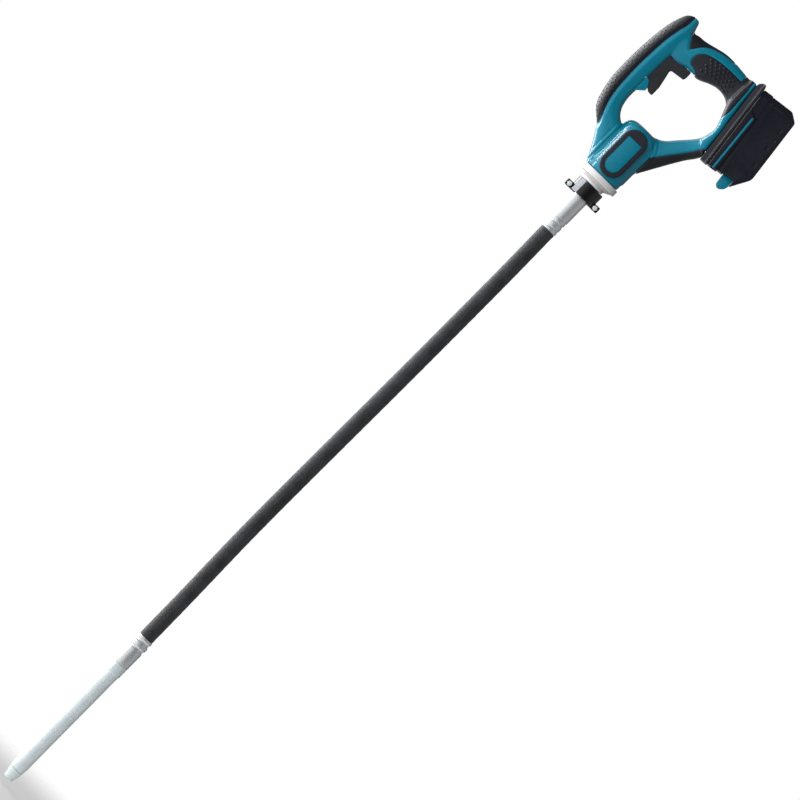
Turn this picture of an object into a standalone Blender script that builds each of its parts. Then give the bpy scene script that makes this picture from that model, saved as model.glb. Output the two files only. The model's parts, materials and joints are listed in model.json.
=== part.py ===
"""Cordless concrete vibrator: a D-handled drive unit with a slide-on battery, a flexible shaft in a
rubber hose, and a steel vibrating head.

Design space is in millimetres: Z runs up the tool axis from the shaft clamp (Z = 0), X points to the
battery and Y is across the tool. Every mesh is made there, then moved so that the world's origin is
the middle of the top grip, where a hand carries the tool, with the shaft hanging straight down.
"""

import math

import bmesh
import bpy
from mathutils import Matrix, Vector

MM = 0.001
GAP = 0.3

# The handle.
HOLD_Z = 251.0
SKIN = 2.0
RECESS = SKIN + 2 * GAP
WALL = 4.6
PLANE_GAP = 0.15
BARREL_R = 30.0
BARREL_BASE_Z = 37.3
BARREL_TOP_Z = 126.0
DOME_Z = 98.0
DOME_POWER = 4.0
GRIP_POWER = 2.5
FOOT_ROOT_POWER = 4.0

# The screws that hold the two housing halves together, driven from the near side.
SCREW_R = 2.0
SCREW_HEAD_R = 3.6
SCREW_HEAD_Y = 12.0
SCREW_PLACES = [(-62, 110), (-38, 236), (54, 140), (58, 262)]

# The pad on each side of the barrel, and the plate let into it.
PAD_HALF_WIDTH = 18.8
PAD_Z = (41.0, 119.0)
PAD_Y = (-31.8, -27.2)
PLATE_HALF_WIDTH = 12.0
PLATE_Z = (48.0, 103.5)
PLATE_Y = (-32.3, -29.6)

# The drive train, all on the tool axis.
MOTOR_R = 23.0
MOTOR_WALL = 2.4
MOTOR_Z = (46.0, 101.0)
SHAFT_R = 4.0
FLANGE_R = 31.0
FLANGE_Z = (27.3, 37.0)
CLAMP_R = 21.5
CLAMP_Z = (-4.0, 18.0)
CLAMP_BOLT_X = 24.5
SLEEVE_R = 12.8
SLEEVE_Z = (-45.0, 18.4)

# The flexible shaft and the head.
HOSE_R = 11.5
HOSE_BORE_R = 7.2
HOSE_TOP_Z = -67.5
HOSE_END_Z = -858.0
FERRULE_R = 13.2
FLEX_Z = (HOSE_TOP_Z + HOSE_END_Z) / 2
FLEX_DEG = 30.0
INNER_R = 5.0
FERRULE_END_Z = -909.0
HEAD_R = 11.4
HEAD_CONE_Z = -1113.0
HEAD_TIP_Z = -1130.0
HEAD_TIP_R = 7.3

# The battery and the foot it slides on share one tilted frame: local X points out of the foot,
# local Z up along it.
FOOT_ORIGIN = (88.5, 0.0, 210.0)
FOOT_TILT_DEG = -7.0
BATTERY_HALF_WIDTH = 37.5
FOOT_HALF_WIDTH = 40.0
SKIRT_TOP_Z = 34.0
RAIL_TOP_Z = 45.0
BLADE_Y = (-9.0, 0.0, 9.0)
BATTERY_Z = (-57.5, 69.0)
CASE_SPLIT_X = 22.0
CELL_R = 9.2
CELL_PITCH = 18.2

# The trigger turns on a pin near its lower end, so that both its arms pull the same way.
TRIGGER_PIVOT = (-54.0, 0.0, 177.0)
TRIGGER_HALF_WIDTH = 9.0
TRIGGER_PIN_R = 1.8
SWITCH_Z = 205.0

ROUND = 20
SMALL_ROUND = 12


# ---------------------------------------------------------------- materials

def material(name, color, roughness, metallic=0.0):
    made = bpy.data.materials.new(name)
    made.use_nodes = True
    shader = made.node_tree.nodes["Principled BSDF"]
    shader.inputs["Base Color"].default_value = (*color, 1.0)
    shader.inputs["Roughness"].default_value = roughness
    shader.inputs["Metallic"].default_value = metallic
    made.diffuse_color = (*color, 1.0)
    return made


# ---------------------------------------------------------------- mesh makers

def new_object(name, vertices, faces):
    mesh = bpy.data.meshes.new(name)
    mesh.from_pydata([Vector(v) * MM for v in vertices], [], faces)
    work = bmesh.new()
    work.from_mesh(mesh)
    bmesh.ops.recalc_face_normals(work, faces=work.faces)
    work.to_mesh(mesh)
    work.free()
    obj = bpy.data.objects.new(name, mesh)
    bpy.context.scene.collection.objects.link(obj)
    return obj


def turned(name, profile, sides=ROUND):
    """A solid turned about Z. The profile is (radius, z) points: from axis to axis for a full body,
    or a closed loop for a ring."""
    vertices = []
    rings = []
    for radius, z in profile:
        if radius == 0:
            rings.append([len(vertices)] * sides)
            vertices.append((0, 0, z))
            continue
        rings.append(list(range(len(vertices), len(vertices) + sides)))
        for i in range(sides):
            angle = 2 * math.pi * i / sides
            vertices.append((radius * math.cos(angle), radius * math.sin(angle), z))
    is_ring = profile[0][0] != 0
    pairs = list(zip(rings, rings[1:] + rings[:1])) if is_ring else list(zip(rings, rings[1:]))
    faces = []
    for low, high in pairs:
        for i in range(sides):
            j = (i + 1) % sides
            corners = [low[i], low[j], high[j], high[i]]
            face = [c for k, c in enumerate(corners) if c not in corners[:k]]
            if len(face) > 2:
                faces.append(face)
    return new_object(name, vertices, faces)


def tube(name, outer, inner, z_low, z_high, sides=ROUND):
    return turned(name, [(outer, z_low), (outer, z_high), (inner, z_high), (inner, z_low)], sides)


def rod(name, radius, z_low, z_high, sides=ROUND):
    return turned(name, [(0, z_low), (radius, z_low), (radius, z_high), (0, z_high)], sides)


def laid_rod(name, radius, centre, y_low, y_high, sides=SMALL_ROUND):
    """A rod along Y."""
    obj = rod(name, radius, y_low, y_high, sides)
    turn = Matrix.Rotation(math.radians(-90), 4, "X")
    obj.data.transform(Matrix.Translation(Vector((centre[0], 0, centre[2])) * MM) @ turn)
    return obj


def prism(name, outline, y_low, y_high):
    """An (x, z) outline carried from y_low to y_high."""
    count = len(outline)
    vertices = [(x, y, z) for y in (y_low, y_high) for x, z in outline]
    faces = [list(range(count)), list(range(count, 2 * count))]
    faces += [[i, (i + 1) % count, count + (i + 1) % count, count + i] for i in range(count)]
    return new_object(name, vertices, faces)


def box(name, low, high):
    outline = [(low[0], low[2]), (high[0], low[2]), (high[0], high[2]), (low[0], high[2])]
    return prism(name, outline, low[1], high[1])


def bevelled(obj, width, segments=2):
    modifier = obj.modifiers.new("Bevel", "BEVEL")
    modifier.width = width * MM
    modifier.segments = segments
    modifier.limit_method = "ANGLE"
    modifier.angle_limit = math.radians(30)
    return baked(obj)


def smooth_through(points, per_span):
    """A Catmull-Rom curve through the points, which may hold any number of values each."""
    padded = [points[0]] + list(points) + [points[-1]]
    made = []
    for before, start, end, after in zip(padded, padded[1:], padded[2:], padded[3:]):
        for step in range(per_span):
            t = step / per_span
            made.append([
                0.5 * (2 * b + (c - a) * t + (2 * a - 5 * b + 4 * c - d) * t ** 2
                       + (3 * b - a - 3 * c + d) * t ** 3)
                for a, b, c, d in zip(before, start, end, after)
            ])
    made.append(list(points[-1]))
    return made


def loft(name, stations, inset=0.0, sides=12, per_span=1, power=GRIP_POWER):
    """A rounded limb between two edges. A station is (x, z) of one edge, (x, z) of the other and the
    half depth. inset draws every surface in by that much."""
    rings = smooth_through(stations, per_span)
    vertices = []
    for ax, az, bx, bz, depth in rings:
        half = Vector(((bx - ax) / 2, 0, (bz - az) / 2))
        middle = Vector(((ax + bx) / 2, 0, (az + bz) / 2))
        half *= (half.length - inset) / half.length
        for i in range(sides):
            angle = 2 * math.pi * (i + 0.5) / sides
            across = math.copysign(abs(math.cos(angle)) ** (2 / power), math.cos(angle))
            deep = math.copysign(abs(math.sin(angle)) ** (2 / power), math.sin(angle))
            vertices.append(middle + half * across + Vector((0, (depth - inset) * deep, 0)))
    faces = [list(range(sides)), list(range(len(vertices) - sides, len(vertices)))]
    for ring in range(len(rings) - 1):
        for i in range(sides):
            j = (i + 1) % sides
            low, high = ring * sides, (ring + 1) * sides
            faces.append([low + i, low + j, high + j, high + i])
    return new_object(name, vertices, faces)


# ---------------------------------------------------------------- mesh joining

def baked(obj):
    graph = bpy.context.evaluated_depsgraph_get()
    mesh = bpy.data.meshes.new_from_object(obj.evaluated_get(graph))
    obj.modifiers.clear()
    obj.data = mesh
    return obj


def is_closed(mesh):
    work = bmesh.new()
    work.from_mesh(mesh)
    closed = bool(work.faces) and all(len(edge.link_faces) == 2 for edge in work.edges)
    work.free()
    return closed


def combined(base, other, operation):
    """A Boolean with the EXACT solver, or with MANIFOLD where EXACT leaves the mesh open."""
    before = base.data
    for solver in ("EXACT", "MANIFOLD"):
        base.data = before
        modifier = base.modifiers.new("Boolean", "BOOLEAN")
        modifier.operation = operation
        modifier.object = other
        modifier.solver = solver
        baked(base)
        if is_closed(base.data):
            break
    bpy.data.objects.remove(other)
    return base


def joined(base, *others):
    for other in others:
        combined(base, other, "UNION")
    return base


def cut(base, *cutters):
    for cutter in cutters:
        combined(base, cutter, "DIFFERENCE")
    return base


def kept_inside(base, region):
    return combined(base, region, "INTERSECT")


def copy_of(obj, name):
    made = bpy.data.objects.new(name, obj.data.copy())
    bpy.context.scene.collection.objects.link(made)
    return made


def mirrored(obj, name):
    """The same piece on the far side of the parting plane."""
    made = copy_of(obj, name)
    made.data.transform(Matrix.Scale(-1, 4, (0, 1, 0)))
    made.data.flip_normals()
    return made


def tilted(obj):
    """Takes a piece drawn in the foot's frame to its place on the handle."""
    turn = Matrix.Rotation(math.radians(FOOT_TILT_DEG), 4, "Y")
    obj.data.transform(Matrix.Translation(Vector(FOOT_ORIGIN) * MM) @ turn)
    return obj


# ---------------------------------------------------------------- handle outlines

def rear_grip(name, inset=0.0):
    return loft(name, [
        (-28, 34, 2, 34, 15),
        (-40, 58, -4, 62, 16),
        (-56, 84, -14, 96, 17),
        (-76, 105, -40, 115, 18),
        (-85.5, 138, -49, 136, 18),
        (-87.5, 170, -49, 168, 18),
        (-86.5, 207, -48.5, 207, 18),
        (-82, 248, -46, 243, 18),
        (-73, 276, -47, 268, 15),
        (-62, 284.5, -53, 283.5, 9),
    ], inset)


def top_grip(name, inset=0.0):
    return loft(name, [
        (-58, 262, -58, 222, 15),
        (-41, 269, -38, 219.5, 17),
        (-27, 270.5, -20, 224, 18),
        (0, 277, 0, 225, 19),
        (14, 278.3, 16.5, 232, 19),
        (28, 277.7, 30, 235.5, 18.5),
        (45, 276, 46, 233, 19),
        (62, 275, 60, 222, 22),
    ], inset)


def lower_arm(name, inset=0.0):
    return loft(name, [
        (-4, 122, 20, 54, 16),
        (14, 126.3, 33, 75, 16.5),
        (27, 132.5, 45, 96, 17.5),
        (41, 147.6, 57, 117, 18.5),
        (54, 162, 67, 133.5, 19.5),
        (62, 174, 74.5, 143.5, 22),
        (65, 187, 80, 152.5, 25),
    ], inset)


def foot_root(name, inset=0.0):
    return loft(name, [
        (61, 171, 79.5, 153, 26),
        (65.6, 186, 76.1, 188, 29),
        (64.4, 200, 74.5, 202, 29),
        (59, 214, 72.4, 216, 28),
        (52, 234, 70, 236, 26),
        (51, 256, 67.5, 256, 25),
        (54, 277, 65.2, 277, 23),
    ], inset, power=FOOT_ROOT_POWER)


def barrel(name, inset=0.0):
    """The motor housing: a drum with a stepped foot and a domed top."""
    radius = BARREL_R - inset
    base = BARREL_BASE_Z - 5
    top = BARREL_TOP_Z - inset
    profile = [(0, base), (radius - 1.5, base), (radius - 1.5, 47), (radius, 48.5)]
    for step in range(6):
        angle = math.radians(90 * step / 6)
        out = math.cos(angle) ** (2 / DOME_POWER)
        up = math.sin(angle) ** (2 / DOME_POWER)
        profile.append((radius * out, DOME_Z + (top - DOME_Z) * up))
    profile.append((0, top))
    return turned(name, profile, ROUND)


def handle_form(name, inset=0.0):
    form = barrel(name, inset)
    limbs = [rear_grip("limb_a", inset), lower_arm("limb_b", inset)]
    limbs += [top_grip("limb_c", inset), foot_root("limb_d", inset)]
    return joined(form, *limbs)


COVER_ZONES = {
    "rear_grip_cover": [
        (-57, 70), (-55.5, 88), (-60.7, 101), (-67, 120), (-70.2, 145), (-71.3, 178), (-70.6, 205),
        (-68.8, 232), (-65, 255), (-61.2, 271), (-61, 300), (-110, 300), (-110, 70),
    ],
    "saddle_cover": [
        (-49, 300), (-48, 270), (-43, 256), (-37, 247.5), (-33, 251), (-25, 262), (-14, 271),
        (0, 275), (2, 300),
    ],
    "palm_cover": [
        (-24, 241), (-22, 235), (-15, 232.5), (-9, 231), (-4, 224), (-2, 215), (53, 215), (54, 240),
        (53, 264), (30, 265.5), (5, 263.5), (-9, 260), (-19, 252),
    ],
    "arm_cover": [
        (36, 62), (29.5, 78), (29.5, 101.5), (36, 109.5), (44.5, 121), (56.7, 136.5), (66, 149.5),
        (73, 162), (90, 162), (90, 62),
    ],
}


def cover_zone(name, grow=0.0):
    """The prism that bounds a soft cover on the front half. grow moves every side outwards."""
    outline = [Vector(p) for p in COVER_ZONES[name]]
    area = sum(a.x * b.y - b.x * a.y for a, b in zip(outline, outline[1:] + outline[:1]))
    side = math.copysign(1.0, area)
    grown = []
    for before, here, after in zip(outline[-1:] + outline, outline, outline[1:] + outline[:1]):
        first = (here - before).normalized()
        second = (after - here).normalized()
        out = Vector((first.y + second.y, -first.x - second.x)).normalized() * side
        out /= max(0.5, abs(out.dot(Vector((first.y, -first.x)) * side)))
        grown.append(tuple(here + out * grow))
    return prism("zone", grown, -60, -PLANE_GAP)


TRIGGER_SLOT = [
    (-66, 170), (-49, 172.5), (-40.5, 164.6), (-26, 162), (-26, 206), (-9, 207), (-4, 236), (-40, 240),
    (-66, 236),
]


def drive_cavity(name):
    return joined(
        rod(name, MOTOR_R + 1.0, BARREL_BASE_Z - 10, MOTOR_Z[1] + 1.0),
        rod("bearing_room", 12.0, MOTOR_Z[1] - 5, MOTOR_Z[1] + 9.0),
    )


def lead_passage(name):
    """The way through the handle's wall for the wires from the terminal block."""
    return tilted(box(name, (-22, -12, 8), (-10, 12, 30)))


def near_side(name):
    """Everything on the near side of the parting plane, down to the handle's front end."""
    return box(name, (-120, -60, BARREL_BASE_Z), (120, -PLANE_GAP, 320))


def housing_half(outer, recessed, inner):
    """The half shell on the near side of the parting plane."""
    shell = kept_inside(copy_of(outer, "housing_front"), near_side("region"))
    for name in COVER_ZONES:
        cut(shell, cover_zone(name, GAP))
    joined(shell, kept_inside(recessed, near_side("region")))
    tab = prism("tab", [(-52, 150), (-49, 157), (-40, 164), (-40.5, 168.5), (-46, 177), (-52, 180)],
                -11, -PLANE_GAP)
    cut(shell, inner)
    joined(shell, tab)
    cut(shell, prism("slot", TRIGGER_SLOT, -TRIGGER_HALF_WIDTH - 0.7, 5))
    cut(shell, drive_cavity("drive_cavity"), lead_passage("lead_passage"))
    cut(shell, side_pad_blank("pad_seat", GAP))
    cut(shell, laid_rod("pin_hole", TRIGGER_PIN_R + GAP, TRIGGER_PIVOT, -13.3, 0))
    for x, z in SCREW_PLACES:
        cut(shell, laid_rod("screw_hole", SCREW_R + GAP, (x, 0, z), -60, 0, 12))
        cut(shell, laid_rod("screw_seat", SCREW_HEAD_R + GAP, (x, 0, z), -60, -SCREW_HEAD_Y, 12))
    return largest_piece(shell)


def soft_covers(outer, lining):
    """The moulded rubber covers: the outer skin of the handle inside each zone."""
    made = []
    for name in COVER_ZONES:
        cover = kept_inside(copy_of(outer, name + "_front"), cover_zone(name))
        cut(cover, copy_of(lining, "lining"))
        made.append(largest_piece(cover))
        made.append(mirrored(cover, name + "_back"))
    return made


def largest_piece(obj):
    """Keeps the biggest of the separate shells that an intersection may leave."""
    work = bmesh.new()
    work.from_mesh(obj.data)
    unseen = set(work.verts)
    groups = []
    while unseen:
        group = {unseen.pop()}
        edge = list(group)
        while edge:
            near = {e.other_vert(v) for v in edge for e in v.link_edges} & unseen
            unseen -= near
            group |= near
            edge = list(near)
        groups.append(group)
    keep = max(groups, key=len)
    bmesh.ops.delete(work, geom=[v for v in work.verts if v not in keep], context="VERTS")
    work.to_mesh(obj.data)
    work.free()
    return obj


# ---------------------------------------------------------------- side badge

def capsule_outline(half_width, z_low, z_high, round_top=True, steps=8):
    """A slot shape; without a round top its upper end is square."""
    bottom = [180 + 180 * i / steps for i in range(steps + 1)]
    top = [180 * i / steps for i in range(steps + 1)] if round_top else []
    outline = [(half_width * math.cos(math.radians(a)),
                z_low + half_width * (1 + math.sin(math.radians(a)))) for a in bottom]
    outline += [(half_width * math.cos(math.radians(a)),
                 z_high - half_width * (1 - math.sin(math.radians(a)))) for a in top]
    if not round_top:
        outline += [(half_width, z_high), (-half_width, z_high)]
    return outline


def side_pad_blank(name, grow=0.0):
    outline = capsule_outline(PAD_HALF_WIDTH + grow, PAD_Z[0] - grow, PAD_Z[1] + grow)
    depth = -40 if grow else PAD_Y[0]
    return prism(name, outline, depth, PAD_Y[1] + grow)


def side_pads():
    pad = side_pad_blank("side_pad_front")
    grown = capsule_outline(PLATE_HALF_WIDTH + GAP, PLATE_Z[0] - GAP, PLATE_Z[1] + GAP, False)
    cut(pad, prism("plate_seat", grown, -40, PLATE_Y[1] + GAP))
    cut(pad, rod("drive_room", MOTOR_R + 1.0, 0, MOTOR_Z[1] + 1.0))
    plate = prism("badge_plate_front", capsule_outline(PLATE_HALF_WIDTH, *PLATE_Z, False), *PLATE_Y)
    return [pad, mirrored(pad, "side_pad_back"), plate, mirrored(plate, "badge_plate_back")]


# ---------------------------------------------------------------- handle hardware

def screws():
    made = []
    for number, (x, z) in enumerate(SCREW_PLACES, 1):
        screw = laid_rod(f"housing_screw_{number}", SCREW_R, (x, 0, z), -SCREW_HEAD_Y + 1, 8, 8)
        head = laid_rod("head", SCREW_HEAD_R, (x, 0, z), -SCREW_HEAD_Y - 2.4, -SCREW_HEAD_Y - GAP, 10)
        neck = laid_rod("neck", SCREW_R, (x, 0, z), -SCREW_HEAD_Y - 1, -SCREW_HEAD_Y + 2, 8)
        made.append(joined(screw, neck, head))
    return made


def trigger_outline():
    return [
        (-59, 177), (-57.5, 181), (-57, 186), (-56.5, 214), (-52.5, 221), (-45, 223.3), (-13.8, 226),
        (-11.7, 224.6), (-11.5, 215.3), (-13.1, 211.1), (-33, 208.4), (-34.5, 206), (-31.7, 193.2),
        (-29, 180), (-29, 166.3), (-30.4, 165), (-36, 165.4), (-40.5, 168.5), (-47, 174.5),
        (-54, 172),
    ]


def trigger_set():
    trigger = prism("trigger", trigger_outline(), -TRIGGER_HALF_WIDTH, TRIGGER_HALF_WIDTH)
    bevelled(trigger, 1.2)
    cut(trigger, laid_rod("bore", TRIGGER_PIN_R + 0.4, TRIGGER_PIVOT, -20, 20))
    pin = laid_rod("trigger_pin", TRIGGER_PIN_R, TRIGGER_PIVOT, -13, 13, 12)
    switch = box("switch_module", (-76, -9.5, 189), (-63, 9.5, 222))
    bore = laid_plunger("bore", 3.4, -74.5, -60)
    cut(switch, bore)
    plunger = laid_plunger("switch_plunger", 2.8, -68.5, -57.6)
    return [trigger, pin, switch, plunger]


def laid_plunger(name, radius, x_low, x_high):
    obj = rod(name, radius, x_low, x_high, 12)
    turn = Matrix.Rotation(math.radians(90), 4, "Y")
    obj.data.transform(Matrix.Translation(Vector((0, 0, SWITCH_Z)) * MM) @ turn)
    return obj


def lead(name, points, radius=1.5):
    """A wire inside the handle, through smooth points of its route."""
    curve = bpy.data.curves.new(name, "CURVE")
    curve.dimensions = "3D"
    curve.bevel_depth = radius * MM
    curve.bevel_resolution = 1
    curve.use_fill_caps = True
    route = smooth_through(points, 3)
    spline = curve.splines.new("POLY")
    spline.points.add(len(route) - 1)
    for point, place in zip(spline.points, route):
        point.co = (*(Vector(place) * MM), 1)
    obj = bpy.data.objects.new(name, curve)
    bpy.context.scene.collection.objects.link(obj)
    return baked_curve(obj)


def baked_curve(obj):
    mesh = bpy.data.meshes.new_from_object(obj.evaluated_get(bpy.context.evaluated_depsgraph_get()))
    made = bpy.data.objects.new(obj.name + "_mesh", mesh)
    bpy.context.scene.collection.objects.link(made)
    name = obj.name
    bpy.data.objects.remove(obj)
    made.name = name
    work = bmesh.new()
    work.from_mesh(mesh)
    bmesh.ops.remove_doubles(work, verts=work.verts, dist=1e-6)
    bmesh.ops.recalc_face_normals(work, faces=work.faces)
    work.to_mesh(mesh)
    work.free()
    return made


def leads():
    battery_lead = lead("battery_lead", [
        (71.3, -5, 228), (64, -5, 232), (56, -5, 243), (45, -5, 252), (25, -5, 256), (0, -5, 254),
        (-30, -5, 250), (-58, -5, 240), (-72, -5, 223.5),
    ])
    motor_lead = lead("motor_lead", [
        (-72, 5, 187.5), (-73, 5, 165), (-70, 5, 140), (-60, 5, 120), (-40, 5, 107), (-27, 5, 98),
    ])
    return [battery_lead, motor_lead]


# ---------------------------------------------------------------- foot and battery

def foot_set():
    bumper = prism("foot_bumper", [
        (-15, -40), (-13.9, -58), (-3.3, -60), (-3.3, 70), (-5, 76), (-10, 76), (-15, 71),
    ], -FOOT_HALF_WIDTH + 1, FOOT_HALF_WIDTH - 1)
    bevelled(bumper, 3.0)
    cut(bumper, box("window", (-30, -17, -23), (0, 17, 31)))
    foot = box("battery_foot", (-3, -FOOT_HALF_WIDTH, -59), (12.6, FOOT_HALF_WIDTH, 70))
    bevelled(foot, 2.0)
    cut(foot, box("head_room", (1.6, -35.2, -80), (8.4, 35.2, RAIL_TOP_Z + 1)))
    cut(foot, box("neck_room", (5, -31.2, -80), (20, 31.2, RAIL_TOP_Z + 1)))
    step = box("skirt_step", (2.8, -60, SKIRT_TOP_Z), (20, -BATTERY_HALF_WIDTH, 90))
    cut(foot, mirrored(step, "skirt_step_back"), step)
    cut(foot, box("terminal_window", (-10, -15, -20), (5, 15, 28)))
    groove = box("strip_seat", (4.0, -50, -80), (7.6, -FOOT_HALF_WIDTH + 0.9, 30))
    cut(foot, mirrored(groove, "strip_seat_back"), groove)
    strip = box("accent_strip_front", (4.3, -FOOT_HALF_WIDTH - 0.3, -58.5),
                (7.3, -FOOT_HALF_WIDTH + 0.6, 29.5))
    block = box("terminal_block", (-13.8, -14.5, -19), (1.2, 14.5, 27))
    for y in BLADE_Y:
        blade = box("blade", (0, y - 0.6, -15), (7.0, y + 0.6, 12))
        joined(block, blade)
    made = [bumper, foot, strip, mirrored(strip, "accent_strip_back"), block]
    return [tilted(obj) for obj in made]


def battery_side_outline():
    return [
        (12.9, BATTERY_Z[0]), (21.5, BATTERY_Z[0]), (21.5, -55), (39, -55), (39, -66), (58.4, -39),
        (58.4, 58), (46, BATTERY_Z[1]), (12.9, BATTERY_Z[1]),
    ]


def battery_set():
    side = BATTERY_HALF_WIDTH
    body = bevelled(prism("battery_tub", battery_side_outline(), -side, side), 2.5)
    lid_region = box("lid_region", (0, -60, -90), (CASE_SPLIT_X, 60, 90))
    lid = kept_inside(copy_of(body, "battery_lid"), lid_region)
    rail = box("rail", (1.9, -34.8, BATTERY_Z[0] + 1), (8.0, 34.8, RAIL_TOP_Z))
    neck = box("neck", (6, -30.8, BATTERY_Z[0] + 1), (16, 30.8, RAIL_TOP_Z))
    joined(lid, neck, rail)
    cut(lid, box("lid_room", (15.6, -34.5, -49), (30, 34.5, 63)))
    for y in BLADE_Y:
        cut(lid, box("blade_room", (-5, y - 1.1, -17), (9.0, y + 1.1, 90)))
    cut(body, box("split", (0, -60, -90), (CASE_SPLIT_X + GAP, 60, 90)))
    cut(body, box("tub_room", (10, -34.5, -49), (55.4, 34.5, 58)))
    cut(body, box("button_travel", (38, -15.6, -80), (44, 15.6, -55)))
    terminals = box("battery_terminals", (9.8, -14, -46), (15.2, 14, 18))
    cut(lid, box("terminal_room", (9.4, -14.4, -46.4), (17, 14.4, 18.4)))
    made = [body, lid, cell_pack(), terminals, battery_button()]
    return [tilted(obj) for obj in made]


def cell_pack():
    """Ten round cells in two layers, held as one welded pack."""
    pack = None
    for layer in range(2):
        for column in range(5):
            x = 26.2 + layer * CELL_PITCH
            z = 5.0 + (column - 2) * CELL_PITCH
            cell = laid_rod("cell_pack", CELL_R, (x, 0, z), -32.5, 32.5, 12)
            pack = joined(pack, cell) if pack else cell
    pack.name = "cell_pack"
    return pack


def battery_button():
    outline = [
        (22.2, -55.4), (22.2, -71.5), (25.5, -76), (30, -76), (35.5, -72.5), (38.4, -67),
        (38.4, -55.4),
    ]
    button = prism("battery_button", outline, -15, 15)
    return bevelled(button, 1.0, 1)


# ---------------------------------------------------------------- drive train

def front_end():
    flange = turned("front_flange", [
        (FLANGE_R - 1.2, FLANGE_Z[0]), (FLANGE_R, FLANGE_Z[0] + 1.2), (FLANGE_R, FLANGE_Z[1] - 0.8),
        (FLANGE_R - 0.8, FLANGE_Z[1]), (12.5, FLANGE_Z[1]), (12.5, FLANGE_Z[0]),
    ], 32)
    neck = turned("bearing_neck", [
        (26.5, 27.0), (25.5, 26.0), (17.8, 22.0), (17.5, 18.7), (13.2, 18.7), (13.2, 23.0),
        (9.0, 23.0), (9.0, 27.0),
    ])
    return [flange, neck]


def clamp_half():
    """The near half of the split shaft clamp, with an ear on each side for the clamp bolts."""
    low, high = CLAMP_Z
    half = rod("shaft_clamp_front", CLAMP_R, low, high, 16)
    ear = box("ear", (-30.5, -7.5, -5.5), (30.5, 7.5, 4))
    joined(half, bevelled(ear, 1.0, 1))
    cut(half, rod("bore", SLEEVE_R + GAP, -20, 40))
    kept_inside(half, box("front", (-60, -60, -60), (60, -0.6, 60)))
    for x in (-CLAMP_BOLT_X, CLAMP_BOLT_X):
        cut(half, laid_rod("bolt_hole", 2.4, (x, 0, -0.8), -20, 20, 12))
    return half


def clamp_set():
    front = clamp_half()
    made = [front, mirrored(front, "shaft_clamp_back")]
    for x, name in ((-CLAMP_BOLT_X, "clamp_bolt_left"), (CLAMP_BOLT_X, "clamp_bolt_right")):
        bolt = laid_rod(name, 2.0, (x, 0, -0.8), -9, 11, 12)
        head = laid_rod("head", 4.4, (x, 0, -0.8), -11.5, -7.9, 6)
        made.append(joined(bolt, head))
    return made


def shaft_end():
    sleeve = tube("shaft_sleeve", SLEEVE_R, 9.2, *SLEEVE_Z)
    ferrule = turned("upper_ferrule", [
        (SLEEVE_R - 0.6, -45.3), (SLEEVE_R - 0.6, -50), (SLEEVE_R - 1.4, -51), (SLEEVE_R - 1.4, -53),
        (SLEEVE_R - 0.6, -54), (SLEEVE_R - 0.6, -60), (SLEEVE_R - 1.4, -61), (SLEEVE_R - 1.4, -62.5),
        (SLEEVE_R - 0.6, -63.5), (SLEEVE_R - 0.6, HOSE_TOP_Z + GAP), (8.2, HOSE_TOP_Z + GAP),
        (8.2, -45.3),
    ])
    return [sleeve, ferrule]


def motor_set():
    low, high = MOTOR_Z
    can = turned("motor_can", [
        (MOTOR_R, low), (MOTOR_R, high), (6.0, high), (6.0, high - 2), (MOTOR_R - MOTOR_WALL, high - 2),
        (MOTOR_R - MOTOR_WALL, low),
    ])
    front_bearing = tube("front_bearing", 11.5, SHAFT_R + 0.4, 38.2, 45.2)
    rear_bearing = tube("rear_bearing", 10.5, SHAFT_R + 0.4, high + 0.6, high + 7.0)
    return [can, front_bearing, rear_bearing]


def rotor_set():
    armature = turned("motor_armature", [
        (0, 29), (SHAFT_R, 29), (SHAFT_R, 58), (17.2, 58), (17.2, 86), (8.0, 86), (8.0, 96),
        (SHAFT_R, 96), (SHAFT_R, 107), (0, 107),
    ])
    fan = tube("cooling_fan", 6.5, SHAFT_R + GAP, 48, 54.5, SMALL_ROUND)
    for blade in range(6):
        angle = 2 * math.pi * blade / 6
        piece = box("blade", (5.8, -1.0, 48.5), (18.5, 1.0, 54.5))
        piece.data.transform(Matrix.Rotation(angle, 4, "Z"))
        joined(fan, piece)
    coupling = rod("drive_coupling", 7.6, 19.5, 33.5, SMALL_ROUND)
    cut(coupling, rod("socket", SHAFT_R + GAP, 28.7, 60))
    cut(coupling, rod("socket", INNER_R + GAP, 0, 24.3))
    inner = rod("inner_shaft_upper", INNER_R, FLEX_Z + HOSE_R + 1.5, 24.0, SMALL_ROUND)
    return [armature, fan, coupling, inner]


# ---------------------------------------------------------------- flexible shaft and head

def hose_upper():
    """It ends just above the bend, hollowed to clear the round end of the lower hose."""
    reach = HOSE_R * math.sin(math.radians(FLEX_DEG)) + 0.6
    hose = tube("hose_upper", HOSE_R, HOSE_BORE_R, FLEX_Z + reach, HOSE_TOP_Z)
    return cut(hose, ball("clearance", HOSE_R + GAP + 0.2))


def hose_lower():
    arc = [math.radians(10 * i) for i in range(6)]
    profile = [(HOSE_R, HOSE_END_Z)]
    profile += [(HOSE_R * math.cos(a), FLEX_Z + HOSE_R * math.sin(a)) for a in arc]
    profile += [(HOSE_BORE_R, FLEX_Z + HOSE_R * math.sin(arc[-1])), (HOSE_BORE_R, HOSE_END_Z)]
    return turned("hose_lower", profile)


def ball(name, radius):
    arc = [math.radians(-90 + 15 * i) for i in range(13)]
    profile = [(radius * math.cos(a), FLEX_Z + radius * math.sin(a)) for a in arc]
    profile[0] = (0, FLEX_Z - radius)
    profile[-1] = (0, FLEX_Z + radius)
    return turned(name, profile)


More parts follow.
